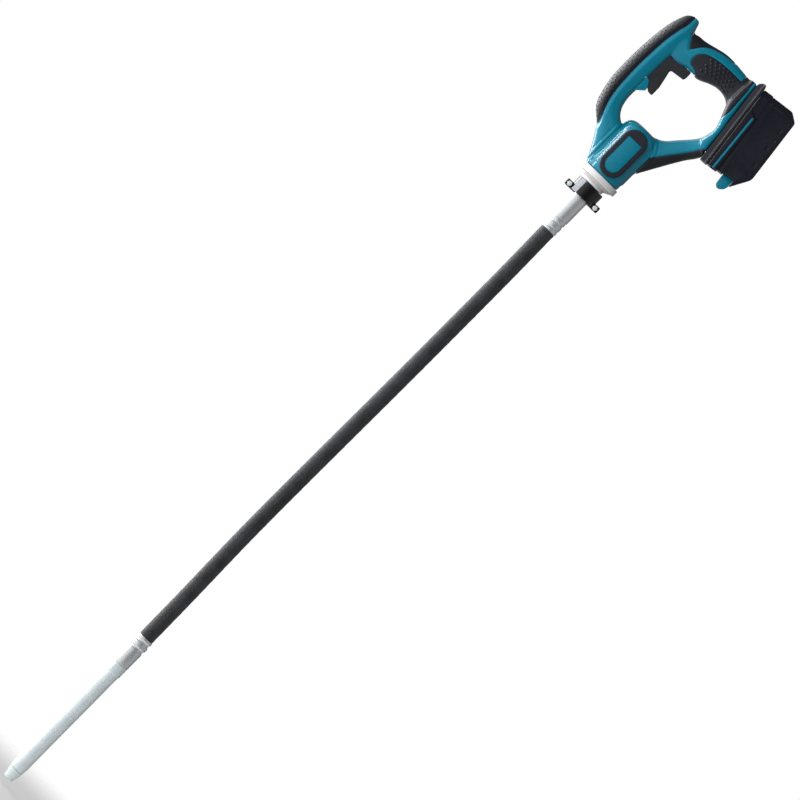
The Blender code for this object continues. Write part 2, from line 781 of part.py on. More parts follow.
def head_set():
    ferrule = turned("lower_ferrule", [
        (FERRULE_R - 0.9, HOSE_END_Z - GAP), (FERRULE_R - 0.9, -862), (FERRULE_R - 2.2, -864),
        (FERRULE_R - 2.2, -866), (FERRULE_R - 0.5, -868), (FERRULE_R - 0.5, -874),
        (FERRULE_R - 2.0, -876), (FERRULE_R - 2.0, -878), (FERRULE_R - 0.8, -880),
        (FERRULE_R - 0.8, FERRULE_END_Z), (8.0, FERRULE_END_Z), (8.0, HOSE_END_Z - GAP),
    ])
    top = FERRULE_END_Z - GAP
    tube_body = turned("head_tube", [
        (FERRULE_R - 0.9, top), (FERRULE_R - 0.9, top - 14), (HEAD_R, top - 17),
        (HEAD_R, HEAD_CONE_Z + 10), (HEAD_R - 0.7, HEAD_CONE_Z), (8.8, HEAD_CONE_Z), (8.8, top),
    ])
    for side in (-1, 1):
        flat_low = (-20, side * 11.6 - (6 if side < 0 else 0), top - 13)
        flat_high = (20, side * 11.6 + (6 if side > 0 else 0), top - 2)
        cut(tube_body, box("flat", flat_low, flat_high))
    tip_top = HEAD_CONE_Z - GAP
    tip = turned("head_tip", [
        (0, HEAD_TIP_Z), (HEAD_TIP_R, HEAD_TIP_Z), (HEAD_R - 0.8, tip_top), (8.4, tip_top),
        (8.4, tip_top + 12), (0, tip_top + 12),
    ])
    bearing_high = tube("head_bearing_upper", 8.5, SHAFT_R + 0.5, -932, -924)
    bearing_low = tube("head_bearing_lower", 8.5, SHAFT_R + 0.5, -1086, -1078)
    return [ferrule, tube_body, tip, bearing_high, bearing_low]


def eccentric_set():
    inner = rod("inner_shaft_lower", INNER_R, -905, FLEX_Z + 6.0, SMALL_ROUND)
    weight = rod("eccentric_weight", SHAFT_R, -1091, -905.6, SMALL_ROUND)
    lump = rod("lump", 7.6, -1074, -936, SMALL_ROUND)
    kept_inside(lump, box("one_side", (-1.5, -20, -1200), (20, 20, -800)))
    return [inner, joined(weight, lump)]


# ---------------------------------------------------------------- assembly

def set_down(pieces, look, pivot=(0.0, 0.0, 0.0)):
    """Gives pieces their material and smooth shading, puts their origin on the pivot that they turn
    or slide on, and lowers them so that the carrying hand is at the world's origin."""
    for obj in pieces:
        obj.data.transform(Matrix.Translation(Vector(pivot) * -MM))
        obj.location = (Vector(pivot) - Vector((0, 0, HOLD_Z))) * MM
        obj.data.materials.clear()
        obj.data.materials.append(look)
        obj.data.shade_smooth()
        obj.data.set_sharp_from_angle(angle=math.radians(35))


def main():
    for obj in list(bpy.data.objects):
        bpy.data.objects.remove(obj)

    teal = material("teal_nylon", (0.004, 0.205, 0.315), 0.34)
    rubber = material("dark_rubber", (0.035, 0.038, 0.045), 0.62)
    black = material("black_nylon", (0.016, 0.018, 0.022), 0.42)
    white = material("pale_alloy", (0.72, 0.70, 0.70), 0.38, 0.6)
    steel = material("plated_steel", (0.55, 0.60, 0.62), 0.24, 1.0)
    hose = material("hose_rubber", (0.028, 0.030, 0.034), 0.70)
    copper = material("copper", (0.65, 0.30, 0.16), 0.35, 1.0)
    wire = material("wire_jacket", (0.35, 0.03, 0.02), 0.50)

    outer = handle_form("outer")
    housing = housing_half(outer, handle_form("recessed", RECESS), handle_form("inner", WALL))
    lining = handle_form("lining", SKIN)
    covers = soft_covers(outer, lining)
    for helper in (outer, lining):
        bpy.data.objects.remove(helper)
    set_down([housing, mirrored(housing, "housing_back")], teal)
    set_down(covers, rubber)

    pad_front, pad_back, plate_front, plate_back = side_pads()
    set_down([pad_front, pad_back], rubber)
    set_down([plate_front, plate_back], teal)
    set_down(screws(), steel)

    trigger, pin, switch, plunger = trigger_set()
    set_down([trigger], black, TRIGGER_PIVOT)
    set_down([pin], steel)
    set_down([switch], black)
    set_down([plunger], black, (-63.0, 0.0, SWITCH_Z))
    set_down(leads(), wire)

    bumper, foot, strip_front, strip_back, block = foot_set()
    set_down([bumper], rubber)
    set_down([foot, block], black)
    set_down([strip_front, strip_back], teal)

    tub, lid, cells, terminals, button = battery_set()
    set_down([tub, lid], black, FOOT_ORIGIN)
    set_down([cells], white, FOOT_ORIGIN)
    set_down([terminals], copper, FOOT_ORIGIN)
    set_down([button], teal, FOOT_ORIGIN)

    set_down(front_end(), white)
    clamp_front, clamp_back, bolt_left, bolt_right = clamp_set()
    set_down([clamp_front, clamp_back], black)
    set_down([bolt_left, bolt_right], steel)
    set_down(shaft_end(), steel)
    set_down(motor_set(), steel)
    armature, fan, coupling, inner_upper = rotor_set()
    set_down([armature, coupling, inner_upper], steel)
    set_down([fan], black)

    flex = (0.0, 0.0, FLEX_Z)
    set_down([hose_upper()], hose)
    set_down([hose_lower()], hose, flex)
    set_down(head_set(), steel, flex)
    set_down(eccentric_set(), steel, flex)


main()
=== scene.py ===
"""Looks for the cordless concrete vibrator: fine surfaces, materials, light and camera round its CAD frame.

Lengths are in millimetres in the tool's own space, as in the CAD source: Z runs up the tool axis from
the shaft clamp, X points to the battery and Y is across. Meshes are stored in the frame's metres.
"""

import math

import bmesh
import bpy
import numpy as np
from mathutils import Matrix, Vector
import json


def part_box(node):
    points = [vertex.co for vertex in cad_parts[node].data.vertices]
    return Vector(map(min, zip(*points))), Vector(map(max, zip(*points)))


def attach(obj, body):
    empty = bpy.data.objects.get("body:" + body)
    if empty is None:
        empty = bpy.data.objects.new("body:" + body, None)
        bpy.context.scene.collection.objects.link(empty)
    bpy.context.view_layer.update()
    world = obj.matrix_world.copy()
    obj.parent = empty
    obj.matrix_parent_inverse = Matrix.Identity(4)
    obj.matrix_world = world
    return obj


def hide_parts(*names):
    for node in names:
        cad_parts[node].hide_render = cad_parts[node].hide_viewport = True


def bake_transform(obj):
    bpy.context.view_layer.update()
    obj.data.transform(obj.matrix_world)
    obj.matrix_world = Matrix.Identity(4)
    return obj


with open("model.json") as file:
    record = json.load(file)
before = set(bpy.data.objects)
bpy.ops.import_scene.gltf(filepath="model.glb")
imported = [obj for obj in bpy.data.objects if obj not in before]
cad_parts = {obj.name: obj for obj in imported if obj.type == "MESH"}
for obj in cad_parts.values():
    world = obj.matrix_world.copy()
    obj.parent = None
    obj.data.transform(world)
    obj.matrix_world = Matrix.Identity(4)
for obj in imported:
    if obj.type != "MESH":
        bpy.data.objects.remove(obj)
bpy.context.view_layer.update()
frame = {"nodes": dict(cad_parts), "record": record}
RECORD = frame["record"]
BODY_OF = {node: body for body, nodes in RECORD["behaviour"]["bodies"].items() for node in nodes}
SLOT_OF = {part["node"]: part["material_slot"] for part in RECORD["subparts"]}

MM = 0.001
FLANGE_BASE_Z = 27.3
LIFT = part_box("front_flange")[0].z - FLANGE_BASE_Z * MM

# Handle.
SKIN = 2.9
WALL = 4.6
PARTING = 0.1
SEAM = 0.25
GRIP_POWER = 2.5
BARREL_R = 30.0
BARREL_BASE_Z = 37.3
BARREL_TOP_Z = 126.0
DOME_Z = 98.0
DOME_POWER = 4.0
VOXEL = 0.9
SMOOTHING = 24
FINE_SIDES = 96
FINE_SPAN = 16
DRIVE_ROOM_R = 24.0
DRIVE_ROOM_TOP_Z = 102.0

# Raised panel round the barrel's pad, and the collar outside it.
BEAD_WIDTH = 2.4
PANEL_HALF_WIDTH = 26.4
PANEL_TOP_Z = 124.0
COLLAR_HALF_WIDTH = 32.2
COLLAR_TOP_Z = 131.0
BEADS = [(PANEL_HALF_WIDTH, PANEL_TOP_Z, 0.5), (COLLAR_HALF_WIDTH, COLLAR_TOP_Z, 1.1)]
PAD_HALF_WIDTH = 18.8
PAD_Z = (41.0, 119.0)
PAD_Y = (-32.6, -25.5)
PLATE_HALF_WIDTH = 12.0
PLATE_Z = (48.0, 103.5)
PLATE_Y = (-32.3, -27.0)

# Trigger.
TRIGGER_HALF_WIDTH = 9.0
TRIGGER_PIVOT = (-54.0, 177.0)
TRIGGER_SLOT = [
    (-66, 170), (-49, 172.5), (-40.5, 164.6), (-26, 162), (-26, 206), (-9, 207), (-4, 236), (-40, 240),
    (-66, 236),
]
TRIGGER_TAB = [(-54, 150), (-49, 156), (-40, 164), (-40.5, 168.5), (-46, 177), (-54, 180)]

# Foot and battery, drawn in one tilted frame: local X out of the foot, local Z up along it.
FOOT_ORIGIN = (88.5, 0.0, 210.0)
FOOT_TILT_DEG = -7.0
FOOT_HALF_WIDTH = 40.0
SKIRT_TOP_Z = 34.0
SKIRT_CUTTER_Y = 60.0
SKIRT_EDGE_DROP = 22.5
BATTERY_HALF_WIDTH = 37.5
BATTERY_Z = (-57.5, 69.0)
CASE_SPLIT_X = 22.0
STRIP = [(3.6, -58.5), (6.8, -58.5), (9.2, 27), (8.0, 29.5), (6.4, 28.5)]

# Flexible shaft and head.
CLAMP_R = 21.5
CLAMP_Z = (-4.0, 18.0)
CLAMP_BOLT_X = 24.5
CLAMP_FLAT_DEG = -41.6
CLAMP_FLAT_Y = 20.8
SLEEVE_R = 12.8
SLEEVE_Z = (-45.0, 18.4)
HOSE_R = 11.5
HOSE_BORE_R = 7.2
HOSE_Z = (-858.0, -67.5)
HOSE_SWAY = [(0.0, 0.0), (0.12, 0.8), (0.35, 0.0), (0.7, -2.6), (0.9, -0.6), (1.0, 0.0)]
HOSE_SIDES = 48
HOSE_STEP = 2.0
INNER_STRIDE = 5  # the bore and the core take every fifth ring of the hose
CORE_R = 5.0
CORE_Z = (-905.0, 24.0)
CORE_SIDES = 24
WRAP_PITCH = 17.0
WRAP_LAP = 0.28
LAP_EDGE = 0.94
FERRULE_R = 13.2
FERRULE_END_Z = -909.0
HEAD_R = 11.4
HEAD_CONE_Z = -1113.0
HEAD_TIP_Z = -1130.0
HEAD_TIP_R = 7.3

# Camera.
VIEW_DISTANCE = 20.0
VIEW_WIDTH = 1.104
VIEW_ROLL_DEG = 45.4
VIEW_CENTRE = (18.9, -377.9)

# Directions that the studio's light comes from.
KEY_SIDE = (-0.83, 0.20, -0.52)
FILL_SIDE = (0.95, 0.05, 0.30)

ROUND = 96


# ---------------------------------------------------------------- small helpers

def smoothstep(low, high, value):
    t = np.clip((value - low) / (high - low), 0.0, 1.0)
    return t * t * (3 - 2 * t)


def to_world(point):
    return Vector((point[0] * MM, point[1] * MM, point[2] * MM + LIFT))


def new_object(name, points, faces):
    mesh = bpy.data.meshes.new(name)
    mesh.from_pydata([to_world(p) for p in points], [], faces)
    work = bmesh.new()
    work.from_mesh(mesh)
    bmesh.ops.recalc_face_normals(work, faces=work.faces)
    work.to_mesh(mesh)
    work.free()
    obj = bpy.data.objects.new(name, mesh)
    bpy.context.scene.collection.objects.link(obj)
    return obj


def baked(obj):
    graph = bpy.context.evaluated_depsgraph_get()
    mesh = bpy.data.meshes.new_from_object(obj.evaluated_get(graph))
    obj.modifiers.clear()
    obj.data = mesh
    return obj


def with_modifier(obj, kind, **settings):
    modifier = obj.modifiers.new(kind.title(), kind)
    for key, value in settings.items():
        setattr(modifier, key, value)
    return baked(obj)


def bevelled(obj, width, segments=3, angle=30):
    return with_modifier(obj, "BEVEL", width=width * MM, segments=segments, limit_method="ANGLE",
                         angle_limit=math.radians(angle))


def combined(base, other, operation):
    with_modifier(base, "BOOLEAN", operation=operation, object=other, solver="MANIFOLD")
    bpy.data.objects.remove(other)
    return base


def joined(base, *others):
    for other in others:
        combined(base, other, "UNION")
    return base


def cut(base, *cutters):
    for cutter in cutters:
        combined(base, cutter, "DIFFERENCE")
    return base


def kept_inside(base, region):
    return combined(base, region, "INTERSECT")


def copy_of(obj, name):
    made = bpy.data.objects.new(name, obj.data.copy())
    bpy.context.scene.collection.objects.link(made)
    return made


def mirrored(obj, name):
    made = copy_of(obj, name)
    made.data.transform(Matrix.Scale(-1, 4, (0, 1, 0)))
    made.data.flip_normals()
    return made


def gathered(base, *others):
    """Adds other meshes to one object without a Boolean, for small raised details."""
    work = bmesh.new()
    for part in (base, *others):
        work.from_mesh(part.data)
    work.to_mesh(base.data)
    work.free()
    for other in others:
        bpy.data.objects.remove(other)
    return base


def tilted(obj):
    """Takes a piece drawn in the foot's frame to its place on the handle."""
    turn = Matrix.Rotation(math.radians(FOOT_TILT_DEG), 4, "Y")
    to_origin = Matrix.Translation((0, 0, -LIFT))
    obj.data.transform(Matrix.Translation(to_world(FOOT_ORIGIN)) @ turn @ to_origin)
    return obj


def finished(obj, material, *nodes, sharp=35.0):
    """Gives a piece its material and its body, and hides the CAD nodes it stands for."""
    obj.data.materials.clear()
    obj.data.materials.append(material)
    obj.data.shade_smooth()
    obj.data.set_sharp_from_angle(angle=math.radians(sharp))
    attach(obj, BODY_OF[nodes[0]])
    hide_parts(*nodes)
    return obj


def finished_pair(obj, material, node_front, **settings):
    """The same for a front piece and its mirror image at the back."""
    stem = obj.name.removesuffix("_front")
    back = mirrored(obj, stem + "_back")
    finished(obj, material, node_front, **settings)
    finished(back, material, node_front.removesuffix("_front") + "_back", **settings)
    return obj, back


def bared(obj, material, normal):
    """Gives the faces that look one way a second material, where a machined flat cuts the enamel."""
    obj.data.materials.append(material)
    for face in obj.data.polygons:
        if face.normal.dot(Vector(normal)) > 0.999:
            face.material_index = 1


# ---------------------------------------------------------------- shape makers

def turned(name, profile, sides=ROUND):
    """A solid turned about Z: from axis to axis for a full body, or a closed loop for a ring."""
    points = []
    rings = []
    for radius, z in profile:
        if radius == 0:
            rings.append([len(points)] * sides)
            points.append((0, 0, z))
            continue
        rings.append(list(range(len(points), len(points) + sides)))
        for i in range(sides):
            angle = 2 * math.pi * i / sides
            points.append((radius * math.cos(angle), radius * math.sin(angle), z))
    following = rings[1:] + rings[:1] if profile[0][0] else rings[1:]
    faces = []
    for low, high in zip(rings, following):
        for i in range(sides):
            j = (i + 1) % sides
            corners = [low[i], low[j], high[j], high[i]]
            face = [c for k, c in enumerate(corners) if c not in corners[:k]]
            if len(face) > 2:
                faces.append(face)
    return new_object(name, points, faces)


def rounded(profile, radius, steps=4, closed=True):
    """The profile with every corner replaced by a short arc-like curve."""
    made = []
    count = len(profile)
    for i, here in enumerate(profile):
        here = Vector(here)
        if not closed and i in (0, count - 1):
            made.append(tuple(here))
            continue
        before = Vector(profile[i - 1]) - here
        after = Vector(profile[(i + 1) % count]) - here
        reach = min(radius, before.length * 0.45, after.length * 0.45)
        start = here + before.normalized() * reach
        end = here + after.normalized() * reach
        for step in range(steps + 1):
            t = step / steps
            made.append(tuple(start.lerp(here, t).lerp(here.lerp(end, t), t)))
    return made


def rod(name, radius, z_low, z_high, sides=ROUND):
    return turned(name, [(0, z_low), (radius, z_low), (radius, z_high), (0, z_high)], sides)


def laid_rod(name, radius, x, z, y_low, y_high, sides=32):
    """A rod along Y."""
    points = []
    for y in (y_low, y_high):
        for i in range(sides):
            angle = 2 * math.pi * i / sides
            points.append((x + radius * math.cos(angle), y, z + radius * math.sin(angle)))
    return new_object(name, points, prism_faces(sides))


def prism_faces(count):
    faces = [list(range(count)), list(range(count, 2 * count))]
    return faces + [[i, (i + 1) % count, count + (i + 1) % count, count + i] for i in range(count)]


def prism(name, outline, y_low, y_high):
    points = [(x, y, z) for y in (y_low, y_high) for x, z in outline]
    return new_object(name, points, prism_faces(len(outline)))


def box(name, low, high):
    outline = [(low[0], low[2]), (high[0], low[2]), (high[0], high[2]), (low[0], high[2])]
    return prism(name, outline, low[1], high[1])


def smooth_through(points, per_span):
    """A Catmull-Rom curve through the points, which may hold any number of values each."""
    padded = [points[0]] + list(points) + [points[-1]]
    made = []
    for before, start, end, after in zip(padded, padded[1:], padded[2:], padded[3:]):
        for step in range(per_span):
            t = step / per_span
            made.append(tuple(
                0.5 * (2 * b + (c - a) * t + (2 * a - 5 * b + 4 * c - d) * t ** 2
                       + (3 * b - a - 3 * c + d) * t ** 3)
                for a, b, c, d in zip(before, start, end, after)
            ))
    made.append(tuple(points[-1]))
    return made


def loft(name, stations, inset=0.0, sides=48, per_span=8, power=GRIP_POWER):
    """A rounded limb between two edges. A station is (x, z) of one edge, (x, z) of the other and the
    half depth. inset draws every surface in by that much."""
    rings = smooth_through(stations, per_span)
    points = []
    for ax, az, bx, bz, depth in rings:
        half = Vector(((bx - ax) / 2, 0, (bz - az) / 2))
        middle = Vector(((ax + bx) / 2, 0, (az + bz) / 2))
        half *= (half.length - inset) / half.length
        for i in range(sides):
            angle = 2 * math.pi * (i + 0.5) / sides
            across = math.copysign(abs(math.cos(angle)) ** (2 / power), math.cos(angle))
            deep = math.copysign(abs(math.sin(angle)) ** (2 / power), math.sin(angle))
            points.append(middle + half * across + Vector((0, (depth - inset) * deep, 0)))
    faces = [list(range(sides)), list(range(len(points) - sides, len(points)))]
    for ring in range(len(rings) - 1):
        for i in range(sides):
            j = (i + 1) % sides
            low, high = ring * sides, (ring + 1) * sides
            faces.append([low + i, low + j, high + j, high + i])
    return new_object(name, points, faces)


def capsule_outline(half_width, z_low, z_high, round_top=True, steps=24):
    """A slot shape; without a round top its upper end is square."""
    angles = [math.pi + math.pi * i / steps for i in range(steps + 1)]
    outline = [(half_width * math.cos(a), z_low + half_width * (1 + math.sin(a))) for a in angles]
    if round_top:
        outline += [(-x, z_low + z_high - z) for x, z in outline]
    else:
        outline += [(half_width, z_high), (-half_width, z_high)]
    return outline


# ---------------------------------------------------------------- handle outlines

REAR_GRIP = [
    (-28, 34, 2, 34, 15),
    (-40, 58, -4, 62, 16),
    (-56, 84, -14, 96, 17),
    (-76, 105, -40, 115, 18),
    (-85.5, 138, -49, 136, 18),
    (-87.5, 170, -49, 168, 18),
    (-86.5, 207, -48.5, 207, 18),
    (-82, 248, -46, 243, 18),
    (-73, 276, -47, 268, 15),
    (-62, 284.5, -53, 283.5, 9),
]
TOP_GRIP = [
    (-58, 262, -58, 222, 15),
    (-41, 269, -38, 219.5, 17),
    (-27, 270.5, -20, 224, 18),
    (0, 277, 0, 225, 19),
    (14, 278.3, 16.5, 232, 19),
    (28, 277.7, 30, 235.5, 18.5),
    (45, 276, 46, 233, 19),
    (62, 275, 60, 222, 22),
]
LOWER_ARM = [
    (-4, 122, 20, 54, 16),
    (14, 126.3, 33, 75, 16.5),
    (27, 132.5, 45, 96, 17.5),
    (41, 147.6, 57, 117, 18.5),
    (54, 162, 67, 133.5, 19.5),
    (62, 174, 74.5, 143.5, 22),
    (65, 187, 80, 152.5, 25),
]
FOOT_ROOT = [
    (61, 171, 79.5, 153, 26),
    (65.6, 186, 76.1, 188, 29),
    (64.4, 200, 74.5, 202, 29),
    (59, 214, 72.4, 216, 28),
    (52, 234, 70, 236, 26),
    (51, 256, 67.5, 256, 25),
    (54, 277, 65.2, 277, 23),
]

# Each cover zone is a list of stretches: smooth inside a stretch, with a corner where two meet.
COVER_ZONES = {
    "rear_grip_cover": [
        [(-57, 66), (-55.5, 84), (-59.5, 99), (-66.5, 120), (-70.2, 145), (-71.3, 178), (-70.6, 205),
         (-68.8, 232), (-65, 255), (-61.2, 271), (-60.5, 300)],
        [(-110, 300), (-110, 66)],
    ],
    "saddle_cover": [
        [(-51, 300), (-50, 282), (-47.5, 267), (-43, 256), (-37, 247.5)],
        [(-33, 251), (-25, 262), (-14, 269.5), (0, 273.8), (12, 276), (24, 279), (30, 300)],
    ],
    "palm_cover": [
        [(-3, 215), (-4.5, 224), (-9, 230), (-15, 232.2), (-21, 233.8), (-24.4, 239), (-24, 247),
         (-19.5, 254), (-11, 259.5), (4, 263.2), (24, 265), (45.5, 265)],
        [(46.5, 272), (47, 300), (62, 300)],
        [(59.8, 274), (61.2, 262), (62.8, 240), (63, 222), (59, 207), (50, 204)],
    ],
    "arm_cover": [
        [(36, 62), (29.5, 78), (29.5, 101.5)],
        [(31, 103.5), (36, 109.5), (44.5, 121), (56.7, 136.5), (66, 149.5), (73, 162)],
        [(90, 162), (90, 62)],
    ],
}


def zone_outline(name):
    return [point for stretch in COVER_ZONES[name] for point in smooth_through(stretch, 6)]


def grown(outline, amount):
    """The outline with every side moved outwards."""
    points = [Vector(p) for p in outline]
    area = sum(a.x * b.y - b.x * a.y for a, b in zip(points, points[1:] + points[:1]))
    side = math.copysign(1.0, area)
    made = []
    for before, here, after in zip(points[-1:] + points, points, points[1:] + points[:1]):
        first = (here - before).normalized()
        second = (after - here).normalized()
        out = Vector((first.y + second.y, -first.x - second.x)).normalized() * side
        out /= max(0.5, abs(out.dot(Vector((first.y, -first.x)) * side)))
        made.append(tuple(here + out * amount))
    return made


def signed_distance(x, z, outline):
    """Distance from each point to the closed outline, positive inside it."""
    nearest = np.full(len(x), 1e9)
    inside = np.zeros(len(x), bool)
    for (ax, az), (bx, bz) in zip(outline, outline[1:] + outline[:1]):
        length = max((bx - ax) ** 2 + (bz - az) ** 2, 1e-9)
        t = np.clip(((x - ax) * (bx - ax) + (z - az) * (bz - az)) / length, 0, 1)
        nearest = np.minimum(nearest, np.hypot(x - ax - t * (bx - ax), z - az - t * (bz - az)))
        if az != bz:
            crosses = ((az > z) != (bz > z)) & (x < (bx - ax) * (z - az) / (bz - az) + ax)
            inside ^= crosses
    return np.where(inside, nearest, -nearest)


# ---------------------------------------------------------------- handle surface

def barrel(name, inset=0.0, sides=ROUND):
    radius = BARREL_R - inset
    top = BARREL_TOP_Z - inset
    profile = [(0, BARREL_BASE_Z), (radius - 1.5, BARREL_BASE_Z), (radius - 1.5, 46), (radius, 48.5)]
    steps = 16
    for step in range(steps):
        angle = math.pi / 2 * step / steps
        out = math.cos(angle) ** (2 / DOME_POWER)
        up = math.sin(angle) ** (2 / DOME_POWER)
        profile.append((radius * out, DOME_Z + (top - DOME_Z) * up))
    return turned(name, profile + [(0, top)], sides)


def handle_form(name, inset=0.0, sides=48, per_span=8):
    form = barrel(name, inset, 2 * sides)
    for stations in (REAR_GRIP, LOWER_ARM, TOP_GRIP):
        joined(form, loft("limb", stations, inset, sides, per_span))
    return joined(form, loft("limb", FOOT_ROOT, inset, sides, per_span, power=4.0))


def handle_relief(points, normals):
    """How far each point of the handle's surface is drawn in, in millimetres."""
    x, y, z = points.T
    facing = smoothstep(0.15, 0.6, np.abs(normals[:, 1]))
    drawn = 0.45 * np.exp(-(y / 0.7) ** 2)
    for name in COVER_ZONES:
        distance = signed_distance(x, z, zone_outline(name))
        drawn += 0.7 * np.exp(-(distance / 0.9) ** 2)
        if name == "rear_grip_cover":
            drawn += facing * 1.9 * smoothstep(5.5, 0.0, -distance) * (distance < 0)
            drawn += facing * 1.9 * smoothstep(6.0, 0.0, distance) * (distance >= 0)
        if name == "saddle_cover":
            drawn += facing * 1.2 * smoothstep(4.0, 0.0, -distance) * (distance < 0)
            drawn += facing * 1.2 * (distance >= 0)
    near_barrel = smoothstep(136, 118, z)
    facing_more = smoothstep(0.05, 0.35, np.abs(normals[:, 1]))
    for half_width, top_z, height in BEADS:
        distance = signed_distance(x, z, capsule_outline(half_width, -40, top_z))
        bead = np.exp(-(distance / BEAD_WIDTH) ** 2)
        groove = np.exp(-((distance + BEAD_WIDTH + 1.2) / 0.8) ** 2)
        drawn += near_barrel * facing_more * (0.5 * groove - height * bead)
    return drawn


def vertex_arrays(mesh):
    count = len(mesh.vertices)
    points = np.empty(count * 3, np.float32)
    normals = np.empty(count * 3, np.float32)
    mesh.vertices.foreach_get("co", points)
    mesh.vertices.foreach_get("normal", normals)
    return points.reshape(-1, 3).astype(float), normals.reshape(-1, 3).astype(float)


def drawn_in(obj, relief):
    """Moves every vertex inwards along its normal by relief(points, normals) millimetres."""
    places, normals = vertex_arrays(obj.data)
    points = (places - np.array([0, 0, LIFT])) / MM
    amount = relief(points, normals)
    places -= normals * amount[:, None] * MM
    obj.data.vertices.foreach_set("co", places.astype(np.float32).ravel())
    obj.data.update()
    return obj


def fine_handle():
    """The handle's outer surface: its limbs fused, filleted and given their relief."""
    form = handle_form("handle_form", 0.0, FINE_SIDES, FINE_SPAN)
    with_modifier(form, "REMESH", mode="VOXEL", voxel_size=VOXEL * MM)
    with_modifier(form, "SMOOTH", factor=0.5, iterations=SMOOTHING)
    return drawn_in(form, handle_relief)


def near_side(name):
    return box(name, (-130, -60, BARREL_BASE_Z), (130, -PARTING, 330))


def zone_prism(name, amount):
    return prism("zone", grown(zone_outline(name), amount), -60, 1.0)


def handle_set(looks):
    outer = kept_inside(fine_handle(), near_side("region"))
    lining = kept_inside(handle_form("lining", SKIN, 20, 3), near_side("region"))
    hollow = handle_form("hollow", WALL, 20, 3)
    for name in COVER_ZONES:
        cover = kept_inside(copy_of(outer, name.replace("cover", "rubber") + "_front"),
                            zone_prism(name, 0.0))
        cut(cover, copy_of(lining, "core"))
        if name in COVER_DOTS:
            gathered(cover, *COVER_DOTS[name](outer))
        finished_pair(cover, looks["rubber"], name + "_front", sharp=50)
    shell = outer
    shell.name = "housing_shell_front"
    for name in COVER_ZONES:
        cut(shell, zone_prism(name, SEAM))
    joined(shell, lining)
    cut(shell, hollow)
    tab = bevelled(prism("tab", rounded(TRIGGER_TAB, 1.5), -11, -PARTING), 0.8, 2)
    joined(shell, tab)
    cut(shell, prism("slot", TRIGGER_SLOT, -TRIGGER_HALF_WIDTH - 0.7, 5))
    cut(shell, rod("drive_room", DRIVE_ROOM_R, BARREL_BASE_Z - 5, DRIVE_ROOM_TOP_Z))
    seat = capsule_outline(PAD_HALF_WIDTH + SEAM, PAD_Z[0] - SEAM, PAD_Z[1] + SEAM)
    cut(shell, prism("pad_seat", seat, -60, PAD_Y[1] + 1))
    finished_pair(shell, looks["teal"], "housing_front", sharp=50)


def dome(name, centre, normal, radius, height, sides=8, stretch=1.0, heading=None):
    """A low dome that stands on a surface, a little sunk into it."""
    up = Vector(normal).normalized()
    side = (Vector(heading) if heading else Vector((0, 0, 1))).cross(up).normalized()
    along = up.cross(side)
    points = []
    rings = [(1.0, -0.35), (0.92, 0.35), (0.62, 0.8), (0.28, 1.0)]
    for reach, lift in rings:
        for i in range(sides):
            angle = 2 * math.pi * i / sides
            offset = side * math.cos(angle) * stretch + along * math.sin(angle)
            points.append(Vector(centre) + offset * radius * reach + up * height * lift)
    faces = [list(range(len(points) - sides, len(points)))]
    for ring in range(len(rings) - 1):
        for i in range(sides):
            j = (i + 1) % sides
            faces.append([ring * sides + i, ring * sides + j, (ring + 1) * sides + j,
                          (ring + 1) * sides + i])
    return new_object(name, points, faces)


def landed(surface, start, direction):
    """Where a ray meets a surface, and the normal there, in tool space, or None."""
    hit, place, normal, _ = surface.ray_cast(to_world(start), Vector(direction))
    if not hit:
        return None
    return Vector((place.x, place.y, place.z - LIFT)) / MM, normal


def palm_dots(surface):
    """Rounded diamonds in staggered rows over the palm rest."""
    made = []
    for row in range(5):
        for column in range(7):
            x = -4.0 + 6.9 * column + 3.45 * (row % 2)
            z = 242.0 + 5.0 * row - 0.010 * (x - 18) ** 2
            landing = landed(surface, (x, -60, z), (0, 1, 0))
            if landing and z < 262.5:
                made.append(dome("dot", *landing, 2.2, 1.5, stretch=1.15))
    return made


def grip_dots(surface):
    """Small round dots in staggered columns down the rear grip."""
    made = []
    for row in range(34):
        z = 92.0 + 5.2 * row
        for column in range(4):
            angle = math.radians(12 + 21 * column + 10.5 * (row % 2))
            direction = (math.cos(angle), math.sin(angle), 0)
            middle_x = -69.0 + 9.0 * abs((z - 175) / 90) ** 3
            start = Vector((middle_x, -1.0, z)) - Vector(direction) * 60
            landing = landed(surface, start, direction)
            if landing and landing[0].x < rear_cover_edge(z) - 2.5 and landing[0].y < -1.5:
                made.append(dome("dot", *landing, 1.35, 0.45, sides=7))
    return made


def rear_cover_edge(z):
    """x of the rear cover's inner edge at a height."""
    edge = COVER_ZONES["rear_grip_cover"][0]
    return float(np.interp(z, [p[1] for p in edge], [p[0] for p in edge]))


COVER_DOTS = {"palm_cover": palm_dots, "rear_grip_cover": grip_dots}


# ---------------------------------------------------------------- barrel badge, trigger, screws

def badge_set(looks):
    pad = prism("pad_form_front", capsule_outline(PAD_HALF_WIDTH, *PAD_Z), *PAD_Y)
    bevelled(pad, 2.0, 4)
    seat = grown(capsule_outline(PLATE_HALF_WIDTH, *PLATE_Z, False), SEAM)
    cut(pad, prism("seat", seat, -60, PLATE_Y[1] + 1))
    cut(pad, rod("drive_room", DRIVE_ROOM_R, 0, DRIVE_ROOM_TOP_Z))
    finished_pair(pad, looks["pad"], "side_pad_front")
    plate = prism("plate_form_front", capsule_outline(PLATE_HALF_WIDTH, *PLATE_Z, False), *PLATE_Y)
    bevelled(plate, 0.8, 3)
    finished_pair(plate, looks["teal"], "badge_plate_front")


